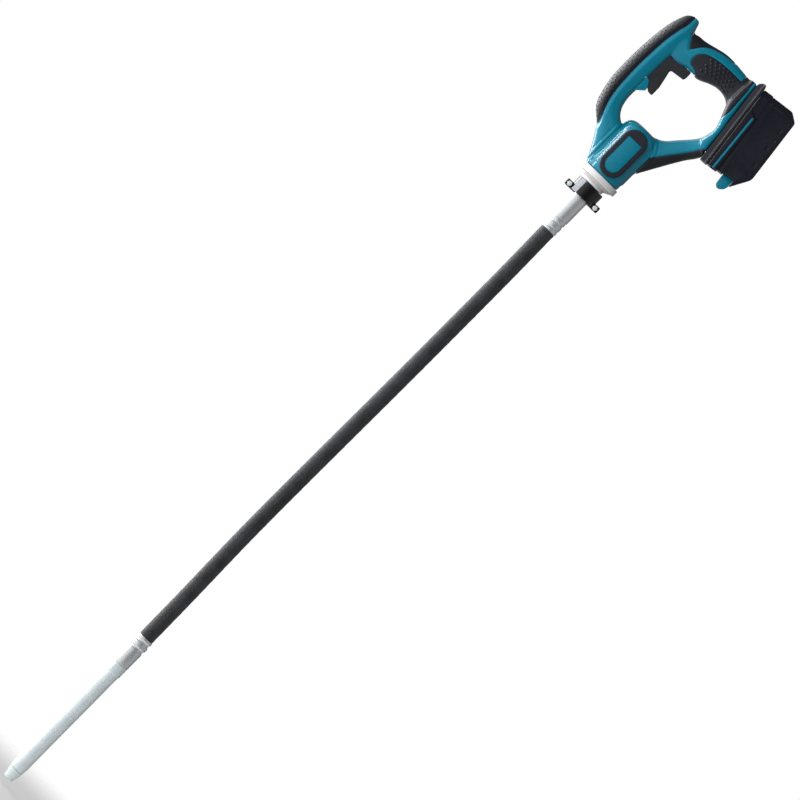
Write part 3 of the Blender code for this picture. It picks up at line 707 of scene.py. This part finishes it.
def trigger_set(looks):
    outline = rounded([
        (-59, 177), (-57.5, 181), (-57, 186), (-56.5, 214), (-52.5, 221), (-45, 223.3), (-13.8, 226),
        (-11.7, 224.6), (-11.5, 215.3), (-13.1, 211.1), (-33, 208.4), (-34.5, 206), (-31.7, 193.2),
        (-29, 180), (-29, 166.3), (-30.4, 165), (-36, 165.4), (-40.5, 168.5), (-47, 174.5), (-54, 172),
    ], 1.4, 3)
    lever = prism("trigger_lever", outline, -TRIGGER_HALF_WIDTH, TRIGGER_HALF_WIDTH)
    bevelled(lever, 1.6, 4)
    cut(lever, laid_rod("bore", 2.2, *TRIGGER_PIVOT, -20, 20))
    finished(lever, looks["trigger"], "trigger")


# ---------------------------------------------------------------- foot and battery

def bumper_form():
    """The rubber bumper: its sides slope up to a ridge near the foot."""
    outline = rounded([
        (-15.4, -40), (-15.6, -59), (-3.3, -60), (-3.3, 70), (-5, 76), (-10, 76), (-15.2, 71),
    ], 2.0)
    form = prism("bumper_rubber", outline, -FOOT_HALF_WIDTH + 1, FOOT_HALF_WIDTH - 1)
    for side in (-1, 1):
        edge = FOOT_HALF_WIDTH - 1
        slope = [(-40, -20), (-15.2, -4.4), (-9.0, -3.2), (-6.9, 0), (-5.6, 0), (-1, -1.2), (30, -1.2),
                 (30, 40), (-40, 40)]
        points = [(x, side * (edge + 0.2 + depth), z) for z in (-80, 90) for x, depth in slope]
        cut(form, new_object("slope", points, prism_faces(len(slope))))
    return cut(form, box("window", (-30, -17, -23), (0, 17, 31)))


def skirt_step(side):
    """Cuts the foot's side back above the skirt, with a slanting edge that catches the light."""
    edge = [(-1, SKIRT_TOP_Z + 4.5), (13.5, SKIRT_TOP_Z - 4.0), (30, SKIRT_TOP_Z - 8)]
    top = [(30, 90), (-1, 90)]
    points = []
    for y, drop in ((BATTERY_HALF_WIDTH, 0), (SKIRT_CUTTER_Y, SKIRT_EDGE_DROP)):
        points += [(x, side * y, z - drop) for x, z in edge]
        points += [(x, side * y, z) for x, z in top]
    return new_object("skirt_step", points, prism_faces(len(edge + top)))


def foot_set(looks):
    finished(tilted(bumper_form()), looks["rubber"], "foot_bumper")
    edge = FOOT_HALF_WIDTH
    foot = bevelled(box("foot_channel", (-3, -edge, -59), (12.6, edge, 70)), 1.6)
    cut(foot, box("head_room", (1.6, -35.2, -80), (8.4, 35.2, 46)))
    cut(foot, box("neck_room", (5, -31.2, -80), (20, 31.2, 46)))
    cut(foot, box("terminal_window", (-10, -15, -20), (5, 15, 28)))
    for side in (-1, 1):
        cut(foot, skirt_step(side), top_bevel(side))
        low, high = sorted((side * 50, side * (edge - 0.9)))
        cut(foot, prism("strip_seat", grown(STRIP, SEAM), low, high))
    ribs = [prism("rib", [(1.3, -57), (2.3, -57), (2.9, 33), (1.9, 33)], y, y + 1.5)
            for y in (-edge - 0.5, edge - 1.0)]
    gathered(foot, *[bevelled(rib, 0.35, 2) for rib in ribs], *brow_ribs(3.5, 12.4))
    finished(tilted(foot), looks["nylon"], "battery_foot")
    strip = bevelled(prism("strip_form_front", STRIP, -edge - 0.3, -edge + 0.6), 0.25, 2)
    finished_pair(tilted(strip), looks["teal"], "accent_strip_front")


def battery_set(looks):
    side = BATTERY_HALF_WIDTH
    outline = rounded([
        (12.9, BATTERY_Z[0]), (21.5, BATTERY_Z[0]), (21.5, -55), (39, -55), (39, -66), (58.4, -39),
        (58.4, 58), (46, BATTERY_Z[1]), (12.9, BATTERY_Z[1]),
    ], 3.0, 4, closed=False)
    case = bevelled(prism("battery_case", outline, -side, side), 1.4, 4, 60)
    for face in (-1, 1):
        cut(case, top_bevel(face))
    lid_region = box("lid_region", (0, -60, -90), (CASE_SPLIT_X, 60, 90))
    lid = kept_inside(copy_of(case, "battery_base"), lid_region)
    joined(lid, box("neck", (6, -30.8, BATTERY_Z[0] + 1), (16, 30.8, 45)))
    joined(lid, box("rail", (1.9, -34.8, BATTERY_Z[0] + 1), (8.0, 34.8, 45)))
    cut(lid, box("lid_room", (15.6, -34.5, -49), (30, 34.5, 63)))
    for y in (-9, 0, 9):
        cut(lid, box("blade_room", (-5, y - 1.1, -17), (9.0, y + 1.1, 90)))
    cut(lid, box("terminal_room", (9.4, -14.4, -46.4), (17, 14.4, 18.4)))
    gathered(lid, *brow_ribs(13.2, CASE_SPLIT_X - 0.1))
    finished(tilted(lid), looks["nylon"], "battery_lid")
    cut(case, box("split", (0, -60, -90), (CASE_SPLIT_X + 0.2, 60, 90)))
    cut(case, box("tub_room", (10, -34.5, -49), (55.4, 34.5, 58)))
    cut(case, box("button_travel", (38, -15.6, -80), (44, 15.6, -55)))
    details = brow_ribs(CASE_SPLIT_X + 0.5, 53)
    for face in (-1, 1):
        battery_side_grooves(case, face)
        for z in (51, 22.5, -6, -34.5):
            details.append(dome("rivet", (53.0, face * side, z), (0, face, 0), 1.5, 1.0))
    gathered(case, *details)
    finished(tilted(case), looks["nylon"], "battery_tub")
    outline = rounded([
        (22.2, -55.4), (22.2, -72), (25.5, -76.2), (30, -76.2), (35.5, -72.5), (38.4, -67),
        (38.4, -55.4),
    ], 2.0, closed=False)
    button = bevelled(prism("release_button", outline, -15, 15), 1.0, 3)
    finished(tilted(button), looks["teal"], "battery_button")


def top_bevel(face):
    """Cuts the slope along the case's top edge."""
    side = BATTERY_HALF_WIDTH
    slope = [(side + 1, 57.9), (side - 7, 70.5), (side - 7, 90), (side + 20, 90), (side + 20, 57.9)]
    points = [(x, face * y, z) for x in (-10, 80) for y, z in slope]
    return new_object("top_bevel", points, prism_faces(len(slope)))


def brow_ribs(x_low, x_high):
    """The thin rib just under the top slope, on both sides."""
    outline = [(x_low, 58.3), (x_high, 58.3), (x_high, 60.1), (x_low, 60.1)]
    side = BATTERY_HALF_WIDTH
    ribs = [prism("rib", outline, y, y + 1.5) for y in (-side - 0.6, side - 0.9)]
    return [bevelled(rib, 0.5, 3) for rib in ribs]


def battery_side_grooves(case, face):
    """The crease across the case's side and the small recesses down its outer edge."""
    low, high = sorted((face * 50, face * (BATTERY_HALF_WIDTH - 0.6)))
    route = smooth_through([(23, -30), (27, -36), (33, -38), (58, -38.5)], 4)
    groove = [(x, z + 0.45) for x, z in route] + [(x, z - 0.45) for x, z in reversed(route)]
    cut(case, prism("crease", groove, low, high))
    for z in (36.5, 8, -20.5):
        recess = bevelled(box("recess", (45.5, low, z - 4), (51.5, high, z + 4)), 0.8, 2)
        cut(case, recess)


# ---------------------------------------------------------------- drive end, hose and head

def front_end(looks):
    profile = rounded([(31.0, 27.3), (31.0, 37.0), (12.5, 37.0), (12.5, 27.3)], 1.4)
    finished(turned("flange_disc", profile), looks["alloy"], "front_flange")
    neck = rounded([
        (26.5, 27.0), (25.0, 25.6), (18.6, 22.6), (17.5, 21.6), (17.5, 18.7), (13.2, 18.7),
        (13.2, 23.0), (9.0, 23.0), (9.0, 27.0),
    ], 0.6, 3)
    finished(turned("neck_turning", neck), looks["alloy"], "bearing_neck")


def clamp_set(looks):
    low, high = CLAMP_Z
    profile = rounded([(CLAMP_R, low), (CLAMP_R, high), (SLEEVE_R + SEAM, high), (SLEEVE_R + SEAM, low)], 1.0)
    half = turned("clamp_jaw_front", profile)
    flat = box("flat", (-6.2, -60, low - 1), (6.2, -CLAMP_FLAT_Y, high + 1))
    flat.data.transform(Matrix.Rotation(math.radians(CLAMP_FLAT_DEG), 4, "Z"))
    cut(half, flat)
    ear = bevelled(box("ear", (-30.5, -7.5, -5.5), (30.5, 7.5, 4)), 1.6)
    joined(half, ear)
    cut(half, rod("bore", SLEEVE_R + SEAM, -20, 40))
    cut(half, box("back", (-60, -0.4, -60), (60, 60, 60)))
    for x in (-CLAMP_BOLT_X, CLAMP_BOLT_X):
        cut(half, laid_rod("bolt_hole", 2.4, x, -0.8, -20, 20))
    front, back = finished_pair(half, looks["clamp"], "shaft_clamp_front")
    turn = math.radians(CLAMP_FLAT_DEG)
    bared(front, looks["worn"], (math.sin(turn), -math.cos(turn), 0))
    bared(back, looks["worn"], (math.sin(turn), math.cos(turn), 0))
    for x, name in ((-CLAMP_BOLT_X, "left"), (CLAMP_BOLT_X, "right")):
        bolt = laid_rod(f"clamp_screw_{name}", 2.0, x, -0.8, -9, 11)
        head = bevelled(laid_rod("head", 3.9, x, -0.8, -11.5, -7.9, 6), 0.4, 2, 50)
        joined(bolt, head)
        finished(bolt, looks["steel"], "clamp_bolt_" + name)


def shaft_end(looks):
    outer = SLEEVE_R
    low, high = SLEEVE_Z
    sleeve = rounded([(outer, low), (outer, high), (9.2, high), (9.2, low)], 0.8)
    finished(turned("sleeve_turning", sleeve), looks["polished"], "shaft_sleeve")
    ferrule = rounded([
        (outer - 0.6, -45.3), (outer - 0.6, -50), (outer - 1.5, -51), (outer - 1.5, -53),
        (outer - 0.6, -54), (outer - 0.6, -60), (outer - 1.5, -61), (outer - 1.5, -62.5),
        (outer - 0.6, -63.5), (outer - 0.6, -67.2), (8.2, -67.2), (8.2, -45.3),
    ], 0.5, 3)
    finished(turned("crimp_upper", ferrule), looks["polished"], "upper_ferrule")


def head_set(looks):
    outer = FERRULE_R
    ferrule = rounded([
        (outer - 0.9, -858.3), (outer - 0.9, -862), (outer - 2.4, -864), (outer - 2.4, -866),
        (outer - 0.5, -868), (outer - 0.5, -874), (outer - 2.2, -876), (outer - 2.2, -878),
        (outer - 0.8, -880), (outer - 0.8, FERRULE_END_Z), (8.0, FERRULE_END_Z), (8.0, -858.3),
    ], 0.6, 3)
    finished(turned("crimp_lower", ferrule), looks["polished"], "lower_ferrule")
    top = FERRULE_END_Z - 0.3
    profile = rounded([
        (outer - 0.9, top), (outer - 0.9, top - 14), (HEAD_R, top - 17), (HEAD_R, HEAD_CONE_Z + 10),
        (HEAD_R - 0.7, HEAD_CONE_Z), (8.8, HEAD_CONE_Z), (8.8, top),
    ], 0.5, 3)
    body = turned("head_casing", profile)
    for side in (-1, 1):
        low, high = sorted((side * 11.4, side * 20))
        cut(body, box("flat", (-20, low, top - 13), (20, high, top - 2)))
    finished(body, looks["steel"], "head_tube")
    tip_top = HEAD_CONE_Z - 0.3
    tip = rounded([
        (0, HEAD_TIP_Z), (HEAD_TIP_R, HEAD_TIP_Z), (HEAD_R - 0.8, tip_top), (8.4, tip_top),
        (8.4, tip_top + 12), (0, tip_top + 12),
    ], 1.2, 4, closed=False)
    finished(turned("head_nose", tip), looks["steel"], "head_tip")


def hose_line():
    """The hose's middle line from its upper end down: nearly straight, with a slight natural set."""
    bottom, top = HOSE_Z
    count = round((top - bottom) / HOSE_STEP)
    sway = np.array(smooth_through(HOSE_SWAY, 12))
    share = np.linspace(0, 1, count + 1)
    return [(float(np.interp(s, sway[:, 0], sway[:, 1])), 0.0, top + (bottom - top) * s) for s in share]


def level_ring(centre, radii):
    """Points round a level ring, spread evenly, each at its own radius."""
    x, y, z = centre
    points = []
    for i, radius in enumerate(radii):
        angle = 2 * math.pi * i / len(radii)
        points.append((x + radius * math.cos(angle), y + radius * math.sin(angle), z))
    return points


def hose_radius(angle, z):
    """The cloth wrap: a long helix whose edge laps over the turn below it."""
    turn = (z / WRAP_PITCH + angle / (2 * math.pi)) % 1.0
    lap = WRAP_LAP * (turn if turn < LAP_EDGE else (1 - turn) / (1 - LAP_EDGE))
    return HOSE_R - WRAP_LAP + lap


def hose_mesh(looks):
    line = hose_line()
    points = []
    for centre in line:
        angles = [2 * math.pi * i / HOSE_SIDES for i in range(HOSE_SIDES)]
        points += level_ring(centre, [hose_radius(angle, centre[2]) for angle in angles])
    bore = line[::-INNER_STRIDE]
    for centre in bore:
        points += level_ring(centre, [HOSE_BORE_R] * HOSE_SIDES)
    rings = len(line) + len(bore)
    faces = []
    for ring in range(rings):
        for i in range(HOSE_SIDES):
            j = (i + 1) % HOSE_SIDES
            low, high = ring * HOSE_SIDES, (ring + 1) % rings * HOSE_SIDES
            faces.append([low + i, low + j, high + j, high + i])
    hose = new_object("hose_wrapped", points, faces)
    hose.data.materials.append(looks["hose"])
    hose.data.shade_smooth()
    hose.data.set_sharp_from_angle(angle=math.radians(50))
    unrolled(hose)
    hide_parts("hose_upper", "hose_lower")
    bent_with_hose(hose)


def bent_with_hose(obj):
    """Bakes the piece's placement into its mesh."""
    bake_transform(obj)


def drive_core(looks):
    """The flexible core inside the hose, drawn as one piece along the hose's middle line."""
    low, high = CORE_Z
    line = [(0.0, 0.0, high)] + hose_line()[::INNER_STRIDE] + [(0.0, 0.0, low)]
    points = []
    for centre in line:
        points += level_ring(centre, [CORE_R] * CORE_SIDES)
    last = len(points) - CORE_SIDES
    faces = [list(range(CORE_SIDES)), list(range(last, last + CORE_SIDES))]
    for start in range(0, last, CORE_SIDES):
        for i in range(CORE_SIDES):
            j = (i + 1) % CORE_SIDES
            faces.append([start + i, start + j, start + CORE_SIDES + j, start + CORE_SIDES + i])
    core = new_object("drive_core", points, faces)
    core.data.materials.append(looks["steel"])
    core.data.shade_smooth()
    core.data.set_sharp_from_angle(angle=math.radians(50))
    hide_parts("inner_shaft_upper", "inner_shaft_lower")
    bent_with_hose(core)


def unrolled(hose):
    """A UV map of the hose's surface: turns round it, and lengths along it."""
    layer = hose.data.uv_layers.new(name="unrolled")
    for face in hose.data.polygons:
        columns = [hose.data.loops[i].vertex_index % HOSE_SIDES for i in face.loop_indices]
        wraps = HOSE_SIDES - 1 in columns and 0 in columns
        for loop, column in zip(face.loop_indices, columns):
            vertex = hose.data.vertices[hose.data.loops[loop].vertex_index]
            around = column + HOSE_SIDES if wraps and column == 0 else column
            layer.data[loop].uv = (around / HOSE_SIDES, vertex.co.z / (2 * math.pi * HOSE_R * MM))


# ---------------------------------------------------------------- materials

def add(tree, kind, links=None, values=None, **settings):
    """A shader node with its settings, its input values and what its inputs are linked to."""
    node = tree.nodes.new(kind)
    for key, value in settings.items():
        setattr(node, key, value)
    for key, value in (values or {}).items():
        node.inputs[key].default_value = value
    for key, socket in (links or {}).items():
        tree.links.new(socket, node.inputs[key])
    return node


def principled(name, roughness, metallic=0.0, coat=0.0, coat_roughness=0.1, sheen=0.0, specular=0.5):
    made = bpy.data.materials.new(name)
    made.use_nodes = True
    shader = made.node_tree.nodes["Principled BSDF"]
    shader.inputs["Roughness"].default_value = roughness
    shader.inputs["Metallic"].default_value = metallic
    shader.inputs["Coat Weight"].default_value = coat
    shader.inputs["Coat Roughness"].default_value = coat_roughness
    shader.inputs["Sheen Weight"].default_value = sheen
    shader.inputs["Specular IOR Level"].default_value = specular
    return made, made.node_tree, shader


def place(tree, scale=(1, 1, 1)):
    """Object coordinates, stretched."""
    coordinates = add(tree, "ShaderNodeTexCoord")
    mapping = add(tree, "ShaderNodeMapping", {"Vector": coordinates.outputs["Object"]}, {"Scale": scale})
    return mapping.outputs["Vector"]


def noise(tree, vector, scale, detail=3.0):
    made = add(tree, "ShaderNodeTexNoise", {"Vector": vector}, {"Scale": scale, "Detail": detail})
    return made.outputs["Fac"]


def varied_colour(tree, shader, factor, dark, light):
    ramp = add(tree, "ShaderNodeValToRGB", {"Fac": factor})
    ramp.color_ramp.elements[0].position = 0.35
    ramp.color_ramp.elements[1].position = 0.65
    ramp.color_ramp.elements[0].color = (*dark, 1)
    ramp.color_ramp.elements[1].color = (*light, 1)
    tree.links.new(ramp.outputs["Color"], shader.inputs["Base Color"])


def varied_roughness(tree, shader, factor, low, high):
    spread = add(tree, "ShaderNodeMapRange", {"Value": factor}, {"To Min": low, "To Max": high})
    tree.links.new(spread.outputs["Result"], shader.inputs["Roughness"])


def bumped(tree, shader, height, depth_mm, strength=1.0):
    bump = add(tree, "ShaderNodeBump", {"Height": height}, {"Strength": strength, "Distance": depth_mm * MM})
    tree.links.new(bump.outputs["Normal"], shader.inputs["Normal"])


def scaled(color, factor):
    return tuple(c * factor for c in color)


def moulded(name, color, roughness, grain_per_mm, grain_depth, spread=0.06, **settings):
    """Moulded plastic or rubber: a fine grain, slightly uneven gloss and colour."""
    made, tree, shader = principled(name, roughness, **settings)
    vector = place(tree)
    cloud = noise(tree, vector, 18.0, 4.0)
    varied_colour(tree, shader, cloud, scaled(color, 1 - spread), scaled(color, 1 + spread))
    grain = noise(tree, vector, grain_per_mm / MM, 2.0)
    varied_roughness(tree, shader, grain, roughness - 0.06, roughness + 0.06)
    bumped(tree, shader, grain, grain_depth)
    return made


def turned_metal(name, color, roughness, mark_depth, metallic=1.0):
    """Turned or drawn steel under a thin dull plating: fine marks round the axis, slight clouding."""
    made, tree, shader = principled(name, roughness, metallic=metallic)
    marks = noise(tree, place(tree, (0.04, 0.04, 1.0)), 2600.0, 3.0)
    cloud = noise(tree, place(tree), 60.0, 5.0)
    varied_colour(tree, shader, cloud, scaled(color, 0.93), color)
    blend = add(tree, "ShaderNodeMath", {0: marks, 1: cloud}, operation="MULTIPLY")
    varied_roughness(tree, shader, blend.outputs["Value"], roughness - 0.05, roughness + 0.18)
    bumped(tree, shader, marks, mark_depth)
    return made


def hose_material():
    """Cloth-wrapped rubber: a plain weave in the bump, over a slightly clouded colour; the helical turns and
    their laps are in the hose's shape.
    """
    made, tree, shader = principled("hose_cloth", 0.62, sheen=0.15)
    uv = add(tree, "ShaderNodeUVMap", uv_map="unrolled").outputs["UV"]
    around = add(tree, "ShaderNodeMapping", {"Vector": uv}, {"Scale": (56, 56, 56)}).outputs["Vector"]
    weave = add(tree, "ShaderNodeTexBrick", {"Vector": around}, {
        "Color1": (0.9, 0.9, 0.9, 1), "Color2": (0.6, 0.6, 0.6, 1), "Mortar": (0, 0, 0, 1), "Scale": 1.0,
        "Mortar Size": 0.12, "Mortar Smooth": 1.0, "Brick Width": 1.0, "Row Height": 0.6,
    })
    cloud = noise(tree, place(tree), 55.0, 5.0)
    varied_colour(tree, shader, cloud, (0.015, 0.017, 0.020), (0.031, 0.033, 0.039))
    rise = add(tree, "ShaderNodeMath", {0: weave.outputs["Color"], 1: cloud}, operation="MULTIPLY")
    bumped(tree, shader, rise.outputs["Value"], 0.35)
    return made


def make_looks():
    return {
        "teal": moulded("teal_nylon", (0.0020, 0.190, 0.285), 0.24, 2.5, 0.004, 0.04, coat=0.35,
                        specular=0.30),
        "rubber": moulded("soft_rubber", (0.013, 0.015, 0.021), 0.42, 2.0, 0.05, 0.15, specular=0.50),
        "pad": moulded("pad_rubber", (0.021, 0.023, 0.032), 0.46, 2.0, 0.02, 0.15, specular=0.35),
        "nylon": moulded("black_nylon", (0.0085, 0.0098, 0.0165), 0.36, 1.6, 0.04, 0.12, specular=0.45),
        "trigger": moulded("trigger_nylon", (0.024, 0.026, 0.030), 0.42, 1.8, 0.03, 0.10, specular=0.35),
        "clamp": moulded("clamp_enamel", (0.006, 0.006, 0.007), 0.20, 0.8, 0.03, 0.10, coat=0.4),
        "alloy": moulded("pale_alloy", (0.70, 0.69, 0.70), 0.38, 0.9, 0.02, 0.03),
        "steel": turned_metal("turned_steel", (0.76, 0.85, 0.87), 0.42, 0.004, 0.25),
        "polished": turned_metal("polished_steel", (0.82, 0.86, 0.89), 0.16, 0.003, 0.65),
        "worn": turned_metal("worn_steel", (0.30, 0.32, 0.35), 0.55, 0.02, 0.3),
        "hose": hose_material(),
        "brass": turned_metal("contact_brass", (0.65, 0.45, 0.16), 0.30, 0.004),
        "wire": moulded("wire_jacket", (0.30, 0.02, 0.015), 0.40, 3.0, 0.01),
        "cells": moulded("cell_sleeve", (0.10, 0.28, 0.14), 0.30, 2.0, 0.005),
    }


CAD_LOOKS = {
    "teal_nylon": "teal", "soft_rubber": "rubber", "black_nylon": "nylon", "clamp_black": "clamp",
    "pale_alloy": "alloy", "plated_steel": "steel", "hose_rubber": "hose", "contact_brass": "brass",
    "wire_jacket": "wire", "cell_sleeve": "cells",
}


def dress_cad_nodes(looks):
    """The inner pieces keep their CAD shapes, with a finished material each."""
    for name, node in frame["nodes"].items():
        node.data.materials.clear()
        node.data.materials.append(looks[CAD_LOOKS[SLOT_OF[name]]])


# ---------------------------------------------------------------- stage

def make_camera():
    """It looks along +Y, rolled so that the tool leans to the right as it is usually shown."""
    data = bpy.data.cameras.new("camera")
    data.sensor_width = 36.0
    data.lens = data.sensor_width * VIEW_DISTANCE / VIEW_WIDTH
    data.clip_end = 100.0
    camera = bpy.data.objects.new("camera", data)
    bpy.context.scene.collection.objects.link(camera)
    centre = to_world((VIEW_CENTRE[0], 0, VIEW_CENTRE[1]))
    camera.location = centre - Vector((0, VIEW_DISTANCE, 0))
    roll = math.radians(90 - VIEW_ROLL_DEG)
    up = Vector((-math.sin(roll), 0, math.cos(roll)))
    right = Vector((math.cos(roll), 0, math.sin(roll)))
    camera.rotation_mode = "QUATERNION"
    camera.rotation_quaternion = Matrix((right, up, Vector((0, -1, 0)))).transposed().to_quaternion()
    bpy.context.scene.camera = camera


def area_light(name, place_at, target, size, power, color=(1, 1, 1)):
    data = bpy.data.lights.new(name, "AREA")
    data.shape = "RECTANGLE"
    data.size, data.size_y = size
    data.energy = power
    data.color = color
    light = bpy.data.objects.new(name, data)
    bpy.context.scene.collection.objects.link(light)
    light.location = place_at
    light.visible_camera = False
    light.rotation_mode = "QUATERNION"
    light.rotation_quaternion = (Vector(target) - Vector(place_at)).to_track_quat("-Z", "Y")
    return light


def make_floor():
    """A pale round floor just under the head, which fades out into the background."""
    radius = 3.0
    sides = 96
    z = (HEAD_TIP_Z - 12) * MM + LIFT
    mesh = bpy.data.meshes.new("floor")
    ring = [(radius * math.cos(2 * math.pi * i / sides), radius * math.sin(2 * math.pi * i / sides), z)
            for i in range(sides)]
    mesh.from_pydata(ring, [], [list(range(sides))])
    floor = bpy.data.objects.new("floor", mesh)
    bpy.context.scene.collection.objects.link(floor)
    made, tree, shader = principled("floor_paper", 0.9, specular=0.0)
    shader.inputs["Base Color"].default_value = (0.86, 0.86, 0.86, 1)
    length = add(tree, "ShaderNodeVectorMath", {0: place(tree, (1, 1, 0))}, operation="LENGTH")
    fade = add(tree, "ShaderNodeMapRange", {"Value": length.outputs["Value"]},
               {"From Min": 0.3, "From Max": 1.6, "To Min": 1.0, "To Max": 0.0},
               interpolation_type="SMOOTHSTEP")
    tree.links.new(fade.outputs["Result"], shader.inputs["Alpha"])
    mesh.materials.append(made)


def make_world():
    """Bright from the grip side and below, a weaker fill from the battery side, and dim in front."""
    world = bpy.data.worlds.new("studio")
    bpy.context.scene.world = world
    world.use_nodes = True
    tree = world.node_tree
    background = tree.nodes["Background"]
    direction = add(tree, "ShaderNodeTexCoord").outputs["Generated"]
    lean = add(tree, "ShaderNodeVectorMath", {0: direction}, {1: KEY_SIDE}, operation="DOT_PRODUCT")
    ramp = add(tree, "ShaderNodeMapRange", {"Value": lean.outputs["Value"]},
               {"From Min": -0.40, "From Max": 0.80, "To Min": 0.06, "To Max": 0.90},
               interpolation_type="SMOOTHSTEP")
    away = add(tree, "ShaderNodeVectorMath", {0: direction}, {1: FILL_SIDE}, operation="DOT_PRODUCT")
    fill = add(tree, "ShaderNodeMapRange", {"Value": away.outputs["Value"]},
               {"From Min": 0.45, "From Max": 0.95, "To Min": 0.0, "To Max": 0.20},
               interpolation_type="SMOOTHSTEP")
    both = add(tree, "ShaderNodeMath", {0: ramp.outputs["Result"], 1: fill.outputs["Result"]},
               operation="ADD")
    seen = add(tree, "ShaderNodeLightPath").outputs["Is Camera Ray"]
    strength = add(tree, "ShaderNodeMix", {"Factor": seen, "A": both.outputs["Value"]}, {"B": 1.0})
    background.inputs["Color"].default_value = (1, 1, 1, 1)
    tree.links.new(strength.outputs["Result"], background.inputs["Strength"])


def make_stage():
    make_world()
    make_floor()
    middle = to_world((0, 0, 120))
    area_light("rim", middle + Vector((-2.5, 1.7, -0.4)), middle, (1.6, 2.8), 88)
    area_light("key", middle + Vector((-3.1, -0.2, -0.2)), middle, (0.34, 2.6), 60)
    front = area_light("front", middle + Vector((-0.7, -3.2, 0.3)), middle, (2.4, 1.8), 70)
    front.visible_glossy = False
    bpy.context.scene.view_settings.view_transform = "Standard"


def main():
    make_camera()
    looks = make_looks()
    dress_cad_nodes(looks)
    head_set(looks)
    hose_mesh(looks)
    drive_core(looks)
    shaft_end(looks)
    clamp_set(looks)
    front_end(looks)
    handle_set(looks)
    badge_set(looks)
    trigger_set(looks)
    foot_set(looks)
    battery_set(looks)
    make_stage()


main()
